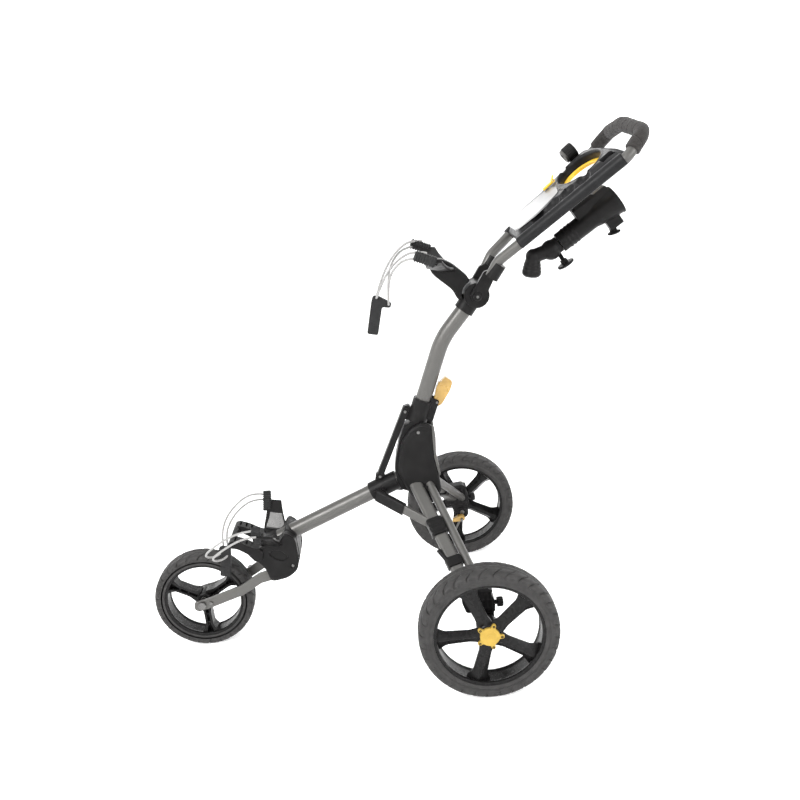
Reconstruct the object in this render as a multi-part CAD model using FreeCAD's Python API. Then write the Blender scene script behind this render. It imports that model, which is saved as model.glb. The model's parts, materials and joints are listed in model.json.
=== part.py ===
import FreeCAD, Part
import math
import os

os.makedirs("parts", exist_ok=True)
V = FreeCAD.Vector

# ---------------------------------------------------------------- driving sizes (mm)
REAR_R, REAR_W, TRACK = 146.0, 57.0, 660.0
FRONT_R, FRONT_W, FRONT_Y = 119.6, 53.6, 653.8
RIM_RATIO = 0.79
TUBE_R, TUBE_WALL = 18.0, 1.8
HANDLE_R, GRIP_R = 11.0, 16.0
AXLE_R, BORE_GAP = 6.0, 0.05
CORD_D = 4.8
SHELL_X0, SHELL_X1 = 20.6, 34.5
MAST_FOOT, MAST_BEND, MAST_TOP = (128.0, 432.0), (21.0, 691.0), (-47.0, 766.0)
BASE_TOP, BASE_END = (118.0, 383.0), (452.0, 254.1)
TILT = (-62.0, 786.0)
FORK_PIVOT = (441.5, 186.0)
TRAY_SLOPE = 36.4
TRAY_ORIGIN = V(0, -130.0, 873.8)
BARREL_X = -30.0
GRIP_BACK_Y = -423.0
Y_MID = (FRONT_Y + FRONT_R + GRIP_BACK_Y) / 2.0

NODES = {}


# ---------------------------------------------------------------- helpers
def save(name, shape):
    NODES[name] = shape


def yz(p, x=0.0):
    return V(x, p[0], p[1])


def mirror(shape):
    return shape.mirror(V(0, 0, 0), V(1, 0, 0))


def rod(a, b, r):
    d = b - a
    return Part.makeCylinder(r, d.Length, a, d)


def pipe(a, b, r, wall):
    d = (b - a).normalize()
    return rod(a, b, r).cut(rod(a - d, b + d, r - wall))


def bar(a, b, width, height, side=V(1, 0, 0), rnd=2.0):
    """Rectangular bar from a to b; width along side, height across."""
    axis = (b - a).normalize()
    s = (side - axis * side.dot(axis)).normalize()
    h = axis.cross(s)
    w = Part.makeBox(width, height, (b - a).Length, V(-width / 2, -height / 2, 0))
    w = w.makeFillet(rnd, [e for e in w.Edges if abs(e.BoundBox.ZLength - (b - a).Length) < 1e-6])
    w.Placement = FreeCAD.Placement(FreeCAD.Matrix(s.x, h.x, axis.x, a.x, s.y, h.y, axis.y, a.y,
                                                   s.z, h.z, axis.z, a.z, 0, 0, 0, 1))
    return w


def rounded_wire(pts, radius, closed=True):
    """Straight runs joined by tangent arcs."""
    n = len(pts)
    radii = radius if isinstance(radius, (list, tuple)) else [radius] * n
    edges, prev, first = [], None, None
    for i in range(n):
        p = pts[i]
        if not closed and i in (0, n - 1):
            q1 = q2 = p
        else:
            u = (pts[i - 1] - p)
            w = (pts[(i + 1) % n] - p)
            lu, lw = u.Length, w.Length
            u.normalize(), w.normalize()
            half = u.getAngle(w) / 2.0
            cut = min(radii[i] / math.tan(half), 0.47 * lu, 0.47 * lw)
            q1, q2 = p + u * cut, p + w * cut
            bis = (u + w).normalize()
            r = cut * math.tan(half)
            mid = p + bis * (r / math.sin(half) - r)
        if prev is not None and (q1 - prev).Length > 1e-6:
            edges.append(Part.makeLine(prev, q1))
        if first is None:
            first = q1
        if (q2 - q1).Length > 1e-6:
            edges.append(Part.Arc(q1, mid, q2).toShape())
        prev = q2
    if closed and (first - prev).Length > 1e-6:
        edges.append(Part.makeLine(prev, first))
    return Part.Wire(edges)


def plate(pts, x0, x1, r=3.0):
    """Outline given in (Y, Z), extruded from x0 to x1."""
    w = rounded_wire([yz(p, x0) for p in pts], r)
    return Part.Face(w).extrude(V(x1 - x0, 0, 0))


def sweep(pts, r, radii):
    path = rounded_wire(pts, radii, closed=False)
    d = path.Edges[0].tangentAt(path.Edges[0].FirstParameter)
    prof = Part.Wire(Part.makeCircle(r, pts[0], d))
    return path.makePipeShell([prof], True, False), path


def spun(profile, centre, axis=V(1, 0, 0)):
    """Solid of revolution about an X-parallel axis; profile in (x, r)."""
    pts = [V(x, 0, r) for x, r in profile]
    f = Part.Face(Part.makePolygon(pts + [pts[0]]))
    s = f.revolve(V(0, 0, 0), V(1, 0, 0), 360)
    s.translate(centre)
    return s


def group(shapes):
    return Part.makeCompound(shapes)


def cleared(shape, *others):
    for o in others:
        shape = shape.cut(o)
    return shape


def soften(shape, r, pick):
    es = [e for e in shape.Edges if pick(e)]
    try:
        return shape.makeFillet(r, es)
    except Exception:
        return shape


def lies_at(edge, x):
    box = edge.BoundBox
    return abs(box.XMin - x) < 1e-4 and abs(box.XMax - x) < 1e-4


# ---------------------------------------------------------------- wheels
def tyre(radius, width, centre):
    ri, h = radius * RIM_RATIO, width / 2.0
    low = radius - 3.0
    right = [(1.6, radius), (2.4, low), (4.6, low), (5.6, radius), (h * 0.55, radius - 0.6),
             (h * 0.84, radius - 4), (h, radius - 13), (h, ri + 7), (h * 0.86, ri)]
    return spun([(-x, r) for x, r in reversed(right)] + right, centre)


def wheel_rim(radius, width, centre, spokes, hub_r, side, phase):
    """Deep barrel, tapered spokes set near the outer face, drum hub."""
    ro, h = radius * RIM_RATIO, width / 2.0
    ri = ro - 5.0
    barrel = spun([(-h * 0.86, ri - 2), (-h * 0.86, ro), (h * 0.86, ro), (h * 0.86, ri - 2), (h * 0.5, ri),
                   (-h * 0.5, ri)], V(0, 0, 0))
    drum = spun([(-h * 0.9, 9), (-h * 0.9, hub_r), (h * 0.80, hub_r), (h * 0.80, 9)], V(0, 0, 0))
    parts = [barrel, drum]
    x0, x1 = (h * 0.02, h * 0.72)
    for k in range(spokes):
        a = math.radians(phase + 360.0 / spokes * k)
        w0, w1 = 11.0, 15.0
        pts = [(hub_r - 3, -w0), (ri + 2, -w1), (ri + 2, w1), (hub_r - 3, w0)]
        rot = [V(x0, r * math.cos(a) - t * math.sin(a), r * math.sin(a) + t * math.cos(a)) for r, t in pts]
        web = Part.Face(Part.makePolygon(rot + [rot[0]])).extrude(V(x1 - x0, 0, 0))
        parts.append(web.common(Part.makeCylinder(ri + 1, 200, V(-100, 0, 0), V(1, 0, 0))))
    s = parts[0].multiFuse(parts[1:]).removeSplitter()
    if side < 0:
        s = mirror(s)
    s.translate(centre)
    return s


def bushes(centre, width, hub_h):
    """Two flanged bushes pressed into the drum."""
    out = []
    for sgn in (-1, 1):
        x0 = sgn * hub_h
        p = [(x0, AXLE_R + BORE_GAP), (x0, 9.0), (x0 - sgn * 12, 9.0), (x0 - sgn * 12, AXLE_R + BORE_GAP)]
        out.append(spun(p, centre))
    return group(out)


rear_c = {-1: V(-TRACK / 2, 0, REAR_R), 1: V(TRACK / 2, 0, REAR_R)}
hh_r = REAR_W / 2 * 0.80
SPOKE_PHASE = {-1: 70.0, 1: 64.0}
CAP_PHASE = 41.0
for side, tag in ((-1, "left"), (1, "right")):
    c = rear_c[side]
    save("rear_tyre_" + tag, tyre(REAR_R, REAR_W, c))
    save("rear_rim_" + tag, wheel_rim(REAR_R, REAR_W, c, 5, 24.0, side, SPOKE_PHASE[side]))
    save("rear_bushes_" + tag, bushes(c, REAR_W, hh_r))
    cap = Part.makeCylinder(22.0, 6.5, V(hh_r, 0, 0), V(1, 0, 0))
    lobes = [Part.makeCylinder(5.5, 5.0, V(hh_r, 21.5 * math.cos(t), 21.5 * math.sin(t)), V(1, 0, 0))
             for t in [math.radians(CAP_PHASE + 72 * k) for k in range(5)]]
    cap = cap.multiFuse(lobes)
    cap = cap.cut(Part.makeCylinder(8.0, 3.0, V(hh_r - 0.01, 0, 0), V(1, 0, 0)))
    if side < 0:
        cap = mirror(cap)
    cap.translate(c)
    save("hub_cap_" + tag, cap)

front_c = V(0, FRONT_Y, FRONT_R)
save("front_tyre", tyre(FRONT_R, FRONT_W, front_c))
save("front_rim", wheel_rim(FRONT_R, FRONT_W, front_c, 3, 19.0, -1, 30.0))
save("front_bushes", bushes(front_c, FRONT_W, FRONT_W / 2 * 0.80))

# ---------------------------------------------------------------- main tubes
base_a, base_b = yz(BASE_TOP), yz(BASE_END)
save("base_tube", pipe(base_a, base_b, TUBE_R, TUBE_WALL))
base_solid = rod(base_a, base_b, TUBE_R)
mast_pts = [yz(MAST_FOOT), yz(MAST_BEND), yz(MAST_TOP)]
mast_out, _ = sweep(mast_pts, TUBE_R, 170.0)
mast_in, _ = sweep(mast_pts, TUBE_R - TUBE_WALL, 170.0)
save("mast_tube", mast_out.cut(mast_in).cut(base_solid))

# ---------------------------------------------------------------- hub: core casting and two cover shells
hub_outline = [(113.5, 497.7), (86.0, 509.6), (63.4, 500.2), (65.6, 464.2), (65.9, 422.1), (59.5, 378.7),
               (56.6, 341.1), (79.6, 308.9), (128.4, 332.3), (143.4, 368.8), (153.7, 395.7), (149.2, 423.6),
               (137.9, 467.1)]
shell = plate(hub_outline, -SHELL_X1, -SHELL_X0, 9.0)
shell = soften(shell, 4.0, lambda e: lies_at(e, -SHELL_X1))
inner = [(104, 492), (86, 500), (73, 492), (74, 464), (75, 422), (69, 378), (66, 344), (82, 320), (122, 339),
         (134, 369), (143, 396), (139, 423), (128, 464)]
shell = shell.cut(plate(inner, -SHELL_X1 + 4.0, -SHELL_X0 + 1, 5.0))
screw_at = [(97.0, 488.0), (72.0, 342.0), (118.0, 352.0)]
boss_len = SHELL_X1 - SHELL_X0 - 3.0
bosses = [Part.makeCylinder(6.0, boss_len, V(-SHELL_X1 + 3, *p), V(1, 0, 0)) for p in screw_at]
shell = shell.multiFuse(bosses)
core_outline = [(128, 500), (112, 512), (88, 512), (76, 500), (76, 464), (78, 422), (68, 378), (66, 346),
                (80, 318), (128, 340), (150, 350), (158, 372), (160, 400), (154, 430), (142, 470)]
core = plate(core_outline, -SHELL_X0 + 0.3, SHELL_X0 - 0.3, 6.0)
wing = bar(V(-44, 100, 347), V(44, 100, 347), 46, 26, V(0, 1, 0.1), 5.0)
core = cleared(core.fuse(wing), mast_out, base_solid)
shell = shell.cut(wing)

# ---------------------------------------------------------------- rear legs, blocks, clamps, axles
leg_front = (V(-30, 116.0, 362.5), V(-284, 19.5, 178.5))
leg_rear = (V(-30, 84.0, 360.0), V(-284, -9.0, 176.5))
LEG_BROAD, LEG_THICK, LEG_REAR_R = 30.0, 15.0, 9.5
leg_dir = (leg_front[1] - leg_front[0]).normalize()
leg_across = leg_rear[0] - leg_front[0]
leg_face = leg_across.cross(leg_dir)
leg_f = bar(leg_front[0], leg_front[1], LEG_THICK, LEG_BROAD, leg_face, 7.0)
leg_r = rod(leg_rear[0], leg_rear[1], LEG_REAR_R)


def on_leg(x):
    return leg_front[0] + leg_dir * ((x - leg_front[0].x) / leg_dir.x)


block = plate([(-2, 228), (50, 220), (52, 196), (40, 150), (26, 124), (-16, 124), (-24, 150), (-22, 190)],
              -298.5, -264.5, 6.0)
block = soften(block, 3.0, lambda e: lies_at(e, -298.5) or lies_at(e, -264.5))
axle_hole = Part.makeCylinder(AXLE_R, 400, V(-400, 0, REAR_R), V(1, 0, 0))
block = cleared(block, leg_f, leg_r, axle_hole)
clamp = bar(on_leg(-110), on_leg(-143), 25.0, 37.0, leg_face, 5.0)
clamp = cleared(clamp, leg_f, leg_r)
spur = bar(on_leg(-178) + V(0, 21, 7), on_leg(-200) + V(0, 10, 2), 20.0, 8.0, V(1, 0, 0), 2.5)
spur = spur.fuse(bar(on_leg(-190), on_leg(-208), 22.0, 36.0, leg_face, 4.0))
spur = cleared(spur, leg_f, leg_r)
core = cleared(core, leg_f, leg_r, mirror(leg_f), mirror(leg_r))
braces = [clamp, spur]
save("leg_braces", group(braces + [mirror(b) for b in braces]))
axle = Part.makeCylinder(AXLE_R, 351.5 - 262.0, V(-351.5, 0, REAR_R), V(1, 0, 0))
knob = Part.makeCylinder(10.0, 15.0, V(-281.5, -25, 181), V(0, -1, 0))
knob = knob.fuse(Part.makeCylinder(4.0, 26.0, V(-281.5, -5, 181), V(0, -1, 0)))
block, leg_r = block.cut(knob), leg_r.cut(knob)
save("axle_block_left", block)
save("release_knobs", group([knob, mirror(knob)]))
BRAKE = (4.0, 133.5)
brake_pin = Part.makeCylinder(4.0, 42.0, V(240.0, *BRAKE), V(1, 0, 0))
save("axle_block_right", mirror(block).cut(brake_pin))
pedal = plate([(-8, 140), (2, 147), (14, 143), (34, 134), (36, 126), (10, 127), (-6, 128)],
              244.0, 260.5, 4.0)
for x in (247.0, 257.5):
    pedal = pedal.fuse(rod(V(x, 6, 132), V(x, 22, 104), 2.5))
pedal = pedal.fuse(rod(V(244.5, 22, 104), V(260.0, 22, 104), 2.5))
pedal = pedal.cut(Part.makeCylinder(4.05, 60, V(220, *BRAKE), V(1, 0, 0)))
save("brake_pedal", pedal)

# ---------------------------------------------------------------- sliding collar, struts, link bar
base_dir = (base_b - base_a).normalize()


def on_base(y):
    return base_a + base_dir * ((y - base_a.y) / base_dir.y)


collar = rod(on_base(157), on_base(221), 22.5)
lug = plate([(182, 364), (186, 388), (195, 394), (206, 388), (210, 370), (206, 352)], -6.0, 6.0, 6.0)
ear = plate([(184, 330), (188, 362), (214, 356), (216, 336), (200, 328)], -32.0, 32.0, 6.0)
collar = collar.fuse(lug).fuse(ear).cut(rod(on_base(120), on_base(260), TUBE_R))
STRUT_TOP, STRUT_END = V(-44.0, 197.0, 344.0), V(-113.0, 95.0, 299.0)
strut_dir = (STRUT_END - STRUT_TOP).normalize()
socket = bar(STRUT_TOP - strut_dir * 12, STRUT_TOP + strut_dir * 62, 15.0, 29.0, V(1, -0.6, 0), 5.0)
strut = bar(STRUT_TOP + strut_dir * 40, STRUT_END, 8.0, 22.0, V(1, -0.6, 0), 2.0)
socket = cleared(socket, strut, collar)
strut = cleared(strut, clamp, leg_f, leg_r)
save("struts", group([strut, mirror(strut)]))
save("strut_sockets", group([socket, mirror(socket)]))

LINK_TOP, LINK_END = (121.6, 534.1), (196.5, 384.0)
link_out = bar(yz(LINK_TOP) + V(0, -3.5, 7.2), yz(LINK_END) + V(0, 2.2, -4.6), 22.0, 15.0, V(1, 0, 0), 2.0)
link_cut = bar(yz(LINK_TOP) + V(0, -6, 12.4), yz(LINK_END) + V(0, 6, -12.4), 16.0, 15.0, V(1, 0, 0), 1.0)
link_cut.translate(V(0, -5.2, -2.6))
pin_top = Part.makeCylinder(3.0, 30, V(-15, *LINK_TOP), V(1, 0, 0))
pin_end = Part.makeCylinder(3.0, 30, V(-15, *LINK_END), V(1, 0, 0))
link = cleared(link_out, link_cut, pin_top, pin_end)

# ---------------------------------------------------------------- latch collar on the mast and its lever
mast_dir = (yz(MAST_BEND) - yz(MAST_FOOT)).normalize()


def on_mast(z):
    return yz(MAST_FOOT) + mast_dir * ((z - MAST_FOOT[1]) / mast_dir.z)


latch = rod(on_mast(506), on_mast(556), 23.0)
latch = latch.fuse(plate([(110, 549), (124, 545), (131, 530), (122, 513), (100, 513)], -7.5, 7.5, 6.0))
latch = latch.fuse(plate([(41.0, 551), (60, 562), (88, 520), (62, 501)], -12.0, 12.0, 5.0))
latch = cleared(latch, mast_out, core, pin_top)
LEVER_PIVOT = (47.0, 548.5)
lever = plate([(22.5, 605), (6.5, 591), (14, 572), (36, 541), (47, 536), (56, 545), (51, 562), (44, 585)],
              -9.0, 9.0, 5.0)
lever_pin = Part.makeCylinder(2.5, 34, V(-17, *LEVER_PIVOT), V(1, 0, 0))
lever_room = Part.makeCylinder(17.0, 19.0, V(-9.5, *LEVER_PIVOT), V(1, 0, 0))
latch = cleared(latch, lever_room, rod(on_mast(500), on_mast(560), TUBE_R))
lever = cleared(lever, rod(on_mast(480), on_mast(660), TUBE_R + 1.2),
                Part.makeCylinder(2.55, 40, V(-20, *LEVER_PIVOT), V(1, 0, 0)))
latch = latch.cut(lever_pin)
link = cleared(link, latch, collar)
save("latch_collar", latch)
save("latch_lever", lever)
save("link_bar", link)
core = cleared(core, latch)
save("slide_collar", cleared(collar, pin_end))
shell = cleared(shell, leg_f, leg_r, latch)
shell_r = mirror(shell)
screws = []
for p in screw_at:
    shank = Part.makeCylinder(2.0, SHELL_X1 - SHELL_X0 + 2.0, V(-SHELL_X1 - 0.5, *p), V(1, 0, 0))
    head = Part.makeCylinder(3.6, 2.0, V(-SHELL_X1 - 0.5, *p), V(1, 0, 0))
    screws.append(shank.fuse(head))
frame_screws = screws + [mirror(s) for s in screws]
for s in frame_screws:
    core, shell, shell_r = core.cut(s), shell.cut(s), shell_r.cut(s)
    leg_f = leg_f.cut(s)
save("leg_front_left", leg_f)
save("leg_front_right", mirror(leg_f))
save("leg_rear_left", leg_r)
save("leg_rear_right", mirror(leg_r))
save("hub_core", core)
save("hub_shell_left", shell)
save("hub_shell_right", shell_r)

# ---------------------------------------------------------------- lower bracket: half shells, cradle arms
low_outline = [(431.4, 288), (409, 268), (407, 213.5), (413.7, 188.3), (438.3, 170.8), (479.5, 164.7),
               (489.1, 201.2), (505.9, 223.5), (512, 240), (496, 256), (470, 262), (446, 264)]
half = plate(low_outline, -33.0, 0.0, 10.0)
half = soften(half, 5.0, lambda e: lies_at(e, -33.0))
hollow_outline = [(424, 262), (416, 250), (416, 215), (424, 196), (440, 181), (470, 176), (478, 206),
                  (496, 230), (490, 244), (470, 250)]
half = half.cut(plate(hollow_outline, -29.0, 1.0, 6.0))
saddle = rod(on_base(404), on_base(458), TUBE_R + 5).common(Part.makeBox(33, 200, 200, V(-33, 380, 160)))
half = half.fuse(saddle)
pivot_boss = Part.makeCylinder(11.0, 31.0, V(-31.0, *FORK_PIVOT), V(1, 0, 0))
half = half.fuse(pivot_boss)
prong = plate([(490, 226), (508, 224), (524, 247), (546, 262), (562, 265), (567, 275), (554, 283),
               (530, 273), (505, 257), (486, 252)], -60.0, -24.0, 6.0)
prong = soften(prong, 2.5, lambda e: abs(e.BoundBox.XLength) < 1e-4)
lip = Part.makeCylinder(8.0, 30.0, V(-30, 557, 274), V(1, 0, 0))
half = half.fuse(prong).fuse(lip)


def loft_arm(a, b):
    def rect(o, hx, hy, lean):
        return Part.makePolygon([o + V(-hx, -hy, -lean), o + V(hx, -hy, lean), o + V(hx, hy, lean),
                                 o + V(-hx, hy, -lean), o + V(-hx, -hy, -lean)])
    return Part.makeLoft([rect(a, 5.0, 23.0, 6.0), rect(b, 4.0, 10.0, 5.0)], True, True)


arm = loft_arm(V(-28, 470, 250), V(-106, 470, 306))
half = half.fuse(arm)
low_pad = bar(V(-105, 471, 301), V(-113, 481, 330), 17.0, 11.0, V(0, 1, 0), 3.0)
half = cleared(half, base_solid, low_pad)
fork_pin_hole = Part.makeCylinder(5.0, 120, V(-60, *FORK_PIVOT), V(1, 0, 0))
half = half.cut(fork_pin_hole)

# ---------------------------------------------------------------- front fork (swings at the lower bracket)
bar_pts = [(430, 178), (436, 198), (449, 198), (508, 186), (556, 159), (640, 134), (672, 128), (674, 108),
           (664, 103), (640, 108), (552, 134), (505, 160), (442, 172)]
fork = plate(bar_pts, -44.0, -37.0, 7.0)
fork = soften(fork, 1.5, lambda e: e.BoundBox.XLength < 1e-4)
fork = cleared(fork, fork_pin_hole, Part.makeCylinder(AXLE_R, 200, V(-100, FRONT_Y, FRONT_R), V(1, 0, 0)))
fork_pin = Part.makeCylinder(4.95, 94.0, V(-47, *FORK_PIVOT), V(1, 0, 0))
pin_heads = [Part.makeCylinder(8.0, 3.5, V(x, *FORK_PIVOT), V(1, 0, 0)) for x in (-47.5, 44.0)]
spacers = [Part.makeCylinder(9.0, 3.7, V(x, *FORK_PIVOT), V(1, 0, 0)) for x in (-37.0, 33.3)]
fork_pin = fork_pin.multiFuse(pin_heads + spacers)
front_axle = Part.makeCylinder(AXLE_R, 100.0, V(-50, FRONT_Y, FRONT_R), V(1, 0, 0))
nuts = [Part.makeCylinder(9.0, 4.5, V(x, FRONT_Y, FRONT_R), V(1, 0, 0)) for x in (-50, 45.5)]
side_tubes = [Part.makeCylinder(9.0, 37.0 - FRONT_W / 2 * 0.9 - 0.4, V(x, FRONT_Y, FRONT_R), V(1, 0, 0))
              for x in (-37.0, FRONT_W / 2 * 0.9 + 0.4)]
front_axle = front_axle.multiFuse(nuts + side_tubes)
bolts = [Part.makeCylinder(4.0, 14.0, V(x, 632, 123), V(1, 0, 0)) for x in (-47.5, 33.5)]
fork = cleared(fork, fork_pin, front_axle, bolts[0])
save("fork_bars", group([fork, mirror(fork)]))
save("fork_fasteners", group([fork_pin, front_axle] + bolts))
half_l, half_r = half, mirror(half)
low_screws = []
for p in [(452, 236), (424, 214)]:
    head = Part.makeCylinder(3.6, 2.2, V(-33.4, *p), V(1, 0, 0))
    s = head.fuse(Part.makeCylinder(2.0, 12, V(-33.4, *p), V(1, 0, 0)))
    low_screws += [s, mirror(s)]
for s in low_screws:
    half_l, half_r = half_l.cut(s), half_r.cut(s)
save("tracking_knob", Part.makeCylinder(9.0, 20, V(46.0, 548, 148), V(1, 0, 0)).fuse(
    Part.makeCylinder(3.0, 10, V(44.0, 548, 148), V(1, 0, 0))).cut(mirror(fork)))

# ---------------------------------------------------------------- upper bracket on the top collar
neck = plate([(-58, 796), (-48, 826), (-18, 856), (4, 870), (30, 872), (34, 850), (26, 836), (3, 814),
              (-12, 800), (-22, 776), (-40, 770)], -16.0, 16.0, 8.0)
up_arm = loft_arm(V(-12, 14, 856), V(-116, 30, 882))
up_arms = up_arm.fuse(mirror(up_arm))
up_pad = bar(V(-112, 36, 880), V(-112, 62, 894), 16.0, 20.0, V(1, 0, 0), 3.0)
neck = neck.fuse(up_arms)

# ---------------------------------------------------------------- top collar and tilt joint
top_dir = (yz(MAST_TOP) - yz(MAST_BEND)).normalize()
top = rod(yz(MAST_TOP) - top_dir * 22, yz(TILT), 22.5)
top = top.fuse(Part.makeCylinder(27.0, 60.0, V(-30, *TILT), V(1, 0, 0)))
top = cleared(top, mast_out, Part.makeCylinder(5.0, 200, V(-100, *TILT), V(1, 0, 0)))
neck = cleared(neck, top, mast_out, Part.makeCylinder(30.5, 120, V(-60, *TILT), V(1, 0, 0)))
disc = Part.makeCylinder(27.0, 8.0, V(-38.3, *TILT), V(1, 0, 0))
teeth = [Part.makeBox(8.0, 3.2, 4.6, V(-38.3, -1.6, 25.4)) for k in range(30)]
for k, tooth in enumerate(teeth):
    tooth.rotate(V(0, 0, 0), V(1, 0, 0), 12 * k)
    tooth.translate(V(0, *TILT))
disc = disc.multiFuse(teeth).cut(Part.makeCylinder(5.0, 200, V(-100, *TILT), V(1, 0, 0)))
save("tilt_discs", group([disc, mirror(disc)]))

# ---------------------------------------------------------------- handle: clevis, tube loop, foam grip
slope = math.radians(TRAY_SLOPE)
up_slope = V(0, -math.cos(slope), math.sin(slope))
normal = V(0, math.sin(slope), math.cos(slope))


def tray(x, s, n):
    return TRAY_ORIGIN + V(x, 0, 0) + up_slope * s + normal * n


half_path = [V(-56, -92, 828), V(-60, -110, 858), V(-80, -155, 892), V(-158, -366, 1046),
             V(-136, -405.5, 1091)]
GRIP_MID = V(0, -400, 1108)
loop_pts = half_path + [GRIP_MID] + [V(-p.x, p.y, p.z) for p in reversed(half_path)]
loop_radii = [0, 40, 60, 45, 32, 200, 32, 45, 60, 40, 0]
tube_out, _ = sweep(loop_pts, HANDLE_R, loop_radii)
tube_in, _ = sweep(loop_pts, HANDLE_R - 1.6, loop_radii)
handle = tube_out.cut(tube_in)
grip_pts = [half_path[3] + (half_path[4] - half_path[3]).normalize() * 18, half_path[4], GRIP_MID]
grip_pts += [V(-p.x, p.y, p.z) for p in reversed(grip_pts[:2])]
grip, _ = sweep(grip_pts, GRIP_R, [0, 32, 200, 32, 0])
save("handle_tube", handle)
save("handle_grip", grip.cut(tube_out))
clevis = plate([(-50, 775), (-48, 792), (-80, 838), (-98, 842), (-106, 830), (-76, 778), (-62, 772)],
               -50.0, -38.3, 10.0)
clevis = clevis.fuse(rod(half_path[0] + V(0, -2, -4), half_path[1] - V(0, 4, 6), 14.5))
clevis = cleared(clevis, tube_out, Part.makeCylinder(5.0, 200, V(-100, *TILT), V(1, 0, 0)))
save("clevis_arms", group([clevis, mirror(clevis)]))
tilt_bolt = Part.makeCylinder(5.0 - BORE_GAP, 102.0, V(-51, *TILT), V(1, 0, 0))
tilt_heads = [Part.makeCylinder(9.0, 5.0, V(x, *TILT), V(1, 0, 0)) for x in (-55.0, 50.0)]
tilt_bolt = tilt_bolt.multiFuse(tilt_heads)
save("tilt_bolt", tilt_bolt)

# ---------------------------------------------------------------- console tray between the handle tubes
def tray_outline(n, inset):
    right = [(68 - inset, 34 + inset * 0.7), (86 - inset, 48), (124 - inset, 160), (158 - inset, 268),
             (150 - inset, 300 - inset * 0.6), (70 - inset * 0.3, 306 - inset * 0.6)]
    pts = [tray(x, s, n) for x, s in right] + [tray(-x, s, n) for x, s in reversed(right)]
    return rounded_wire(pts, 14.0)


body = Part.makeLoft([tray_outline(-4, 2), tray_outline(8, 2), tray_outline(22, 34)], True, True)
hollow = Part.makeLoft([tray_outline(-5, 6), tray_outline(7, 6), tray_outline(19, 38)], True, True)
RING_S, RING_A, RING_B = 232.0, 104.0, 50.0


def oval(a, b, n0, n1, x=0.0, s=RING_S):
    e = Part.Ellipse(V(0, 0, 0), a, b).toShape()
    solid = Part.Face(Part.Wire(e)).extrude(V(0, 0, n1 - n0))
    solid.Placement = FreeCAD.Placement(tray(x, s, n0), FreeCAD.Rotation(V(1, 0, 0), -TRAY_SLOPE))
    return solid


deck = body.cut(hollow)
deck = deck.fuse(oval(RING_A + 3, RING_B + 3, -6, 21.5)).cut(oval(RING_A, RING_B, -30, 40))
sheath = [rod(tray(sx * 82.5, 32, 0), tray(sx * 155.5, 287, 0), 14.5) for sx in (-1, 1)]
deck = deck.fuse(sheath[0]).fuse(sheath[1])
underside = Part.makeBox(500, 500, 40, V(-250, -250, 0))
underside.Placement = FreeCAD.Placement(tray(0, 150, -46), FreeCAD.Rotation(V(1, 0, 0), -TRAY_SLOPE))
deck = deck.cut(underside)
BALL_R, BALL_S, BALL_PITCH = 19.5, 96.0, 37.5
ball_at = []
for k in range(4):
    s = BALL_S + BALL_PITCH * k
    x = 62 + (s - 22) * 0.297
    ball_at += [tray(x, s, 27), tray(-x, s, 27)]
cups = [body.common(Part.makeSphere(BALL_R + 2.5, at)) for at in ball_at]
SLOT_X, SLOT_W = -118.0, 26.0
slot_box = bar(tray(SLOT_X, 252, 14), tray(SLOT_X, 288, 14), SLOT_W + 5, 19, V(1, 0, 0), 3.0)
deck = deck.multiFuse(cups + [body.common(slot_box)]).cut(tube_out)
ball_holes = [Part.makeSphere(BALL_R, at) for at in ball_at]
tee_holes = [Part.makeCylinder(2.6, 12, tray(x, s, 14), normal) for x, s in
             [(-52, 168), (-68, 168), (-84, 172), (-44, 152), (-36, 140)]]
slot = bar(tray(SLOT_X, 255, 20), tray(SLOT_X, 285, 20), SLOT_W, 25, V(1, 0, 0), 3.0)
deck = cleared(deck, *[b for b in ball_holes])
deck = cleared(deck, *tee_holes)
deck = deck.cut(slot)
panel_pts = [(-60, 44), (60, 44), (84, 100), (70, 160), (0, 172), (-70, 160), (-84, 100)]
panel = Part.Face(rounded_wire([tray(x, s, 19.2) for x, s in panel_pts], 16.0)).extrude(normal * 4.8)
deck = deck.cut(panel)
CLIP_S, CLIP_N = 180.0, 28.8
clip_pin = Part.makeCylinder(1.5, 20.0, tray(48, CLIP_S, CLIP_N), V(1, 0, 0))
ears = [bar(tray(x, CLIP_S, 18.0), tray(x, CLIP_S, 31.5), 1.8, 6.0, V(1, 0, 0), 0.5) for x in (48.8, 67.2)]
deck = deck.fuse(clip_pin).fuse(ears[0]).fuse(ears[1])
clip = bar(tray(58, 152, 27.4), tray(58, 178, 27.4), 13, 5, V(1, 0, 0), 1.5)
clip = clip.fuse(Part.makeCylinder(4.0, 15, tray(50.5, CLIP_S, CLIP_N), V(1, 0, 0)))
clip = clip.fuse(bar(tray(58, 178, 31.0), tray(58, 188, 38.0), 11, 3, V(1, 0, 0), 1.0))
clip = clip.cut(Part.makeCylinder(1.55, 40, tray(40, CLIP_S, CLIP_N), V(1, 0, 0)))
save("console_tray", deck)
save("scorecard_panel", panel)
ring = oval(RING_A, RING_B, -6, 4).cut(oval(RING_A - 10, RING_B - 7, -10, 10))
save("cup_ring", ring)
save("scorecard_clip", clip)
DRUM_R, DRUM_X, DRUM_S, DRUM_N = 17.5, 142.0, 256.0, 37.0
drum = Part.makeCylinder(DRUM_R, 32.0, tray(DRUM_X, DRUM_S + 16, DRUM_N), up_slope * -1)
drum = drum.fuse(bar(tray(DRUM_X, DRUM_S, 13.5), tray(DRUM_X, DRUM_S, DRUM_N - 8), 16.0, 20.0, V(1, 0, 0), 3.0))
drum = max(drum.cut(deck).cut(tube_out).Solids, key=lambda piece: piece.Volume)
save("accessory_drum", drum)

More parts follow.
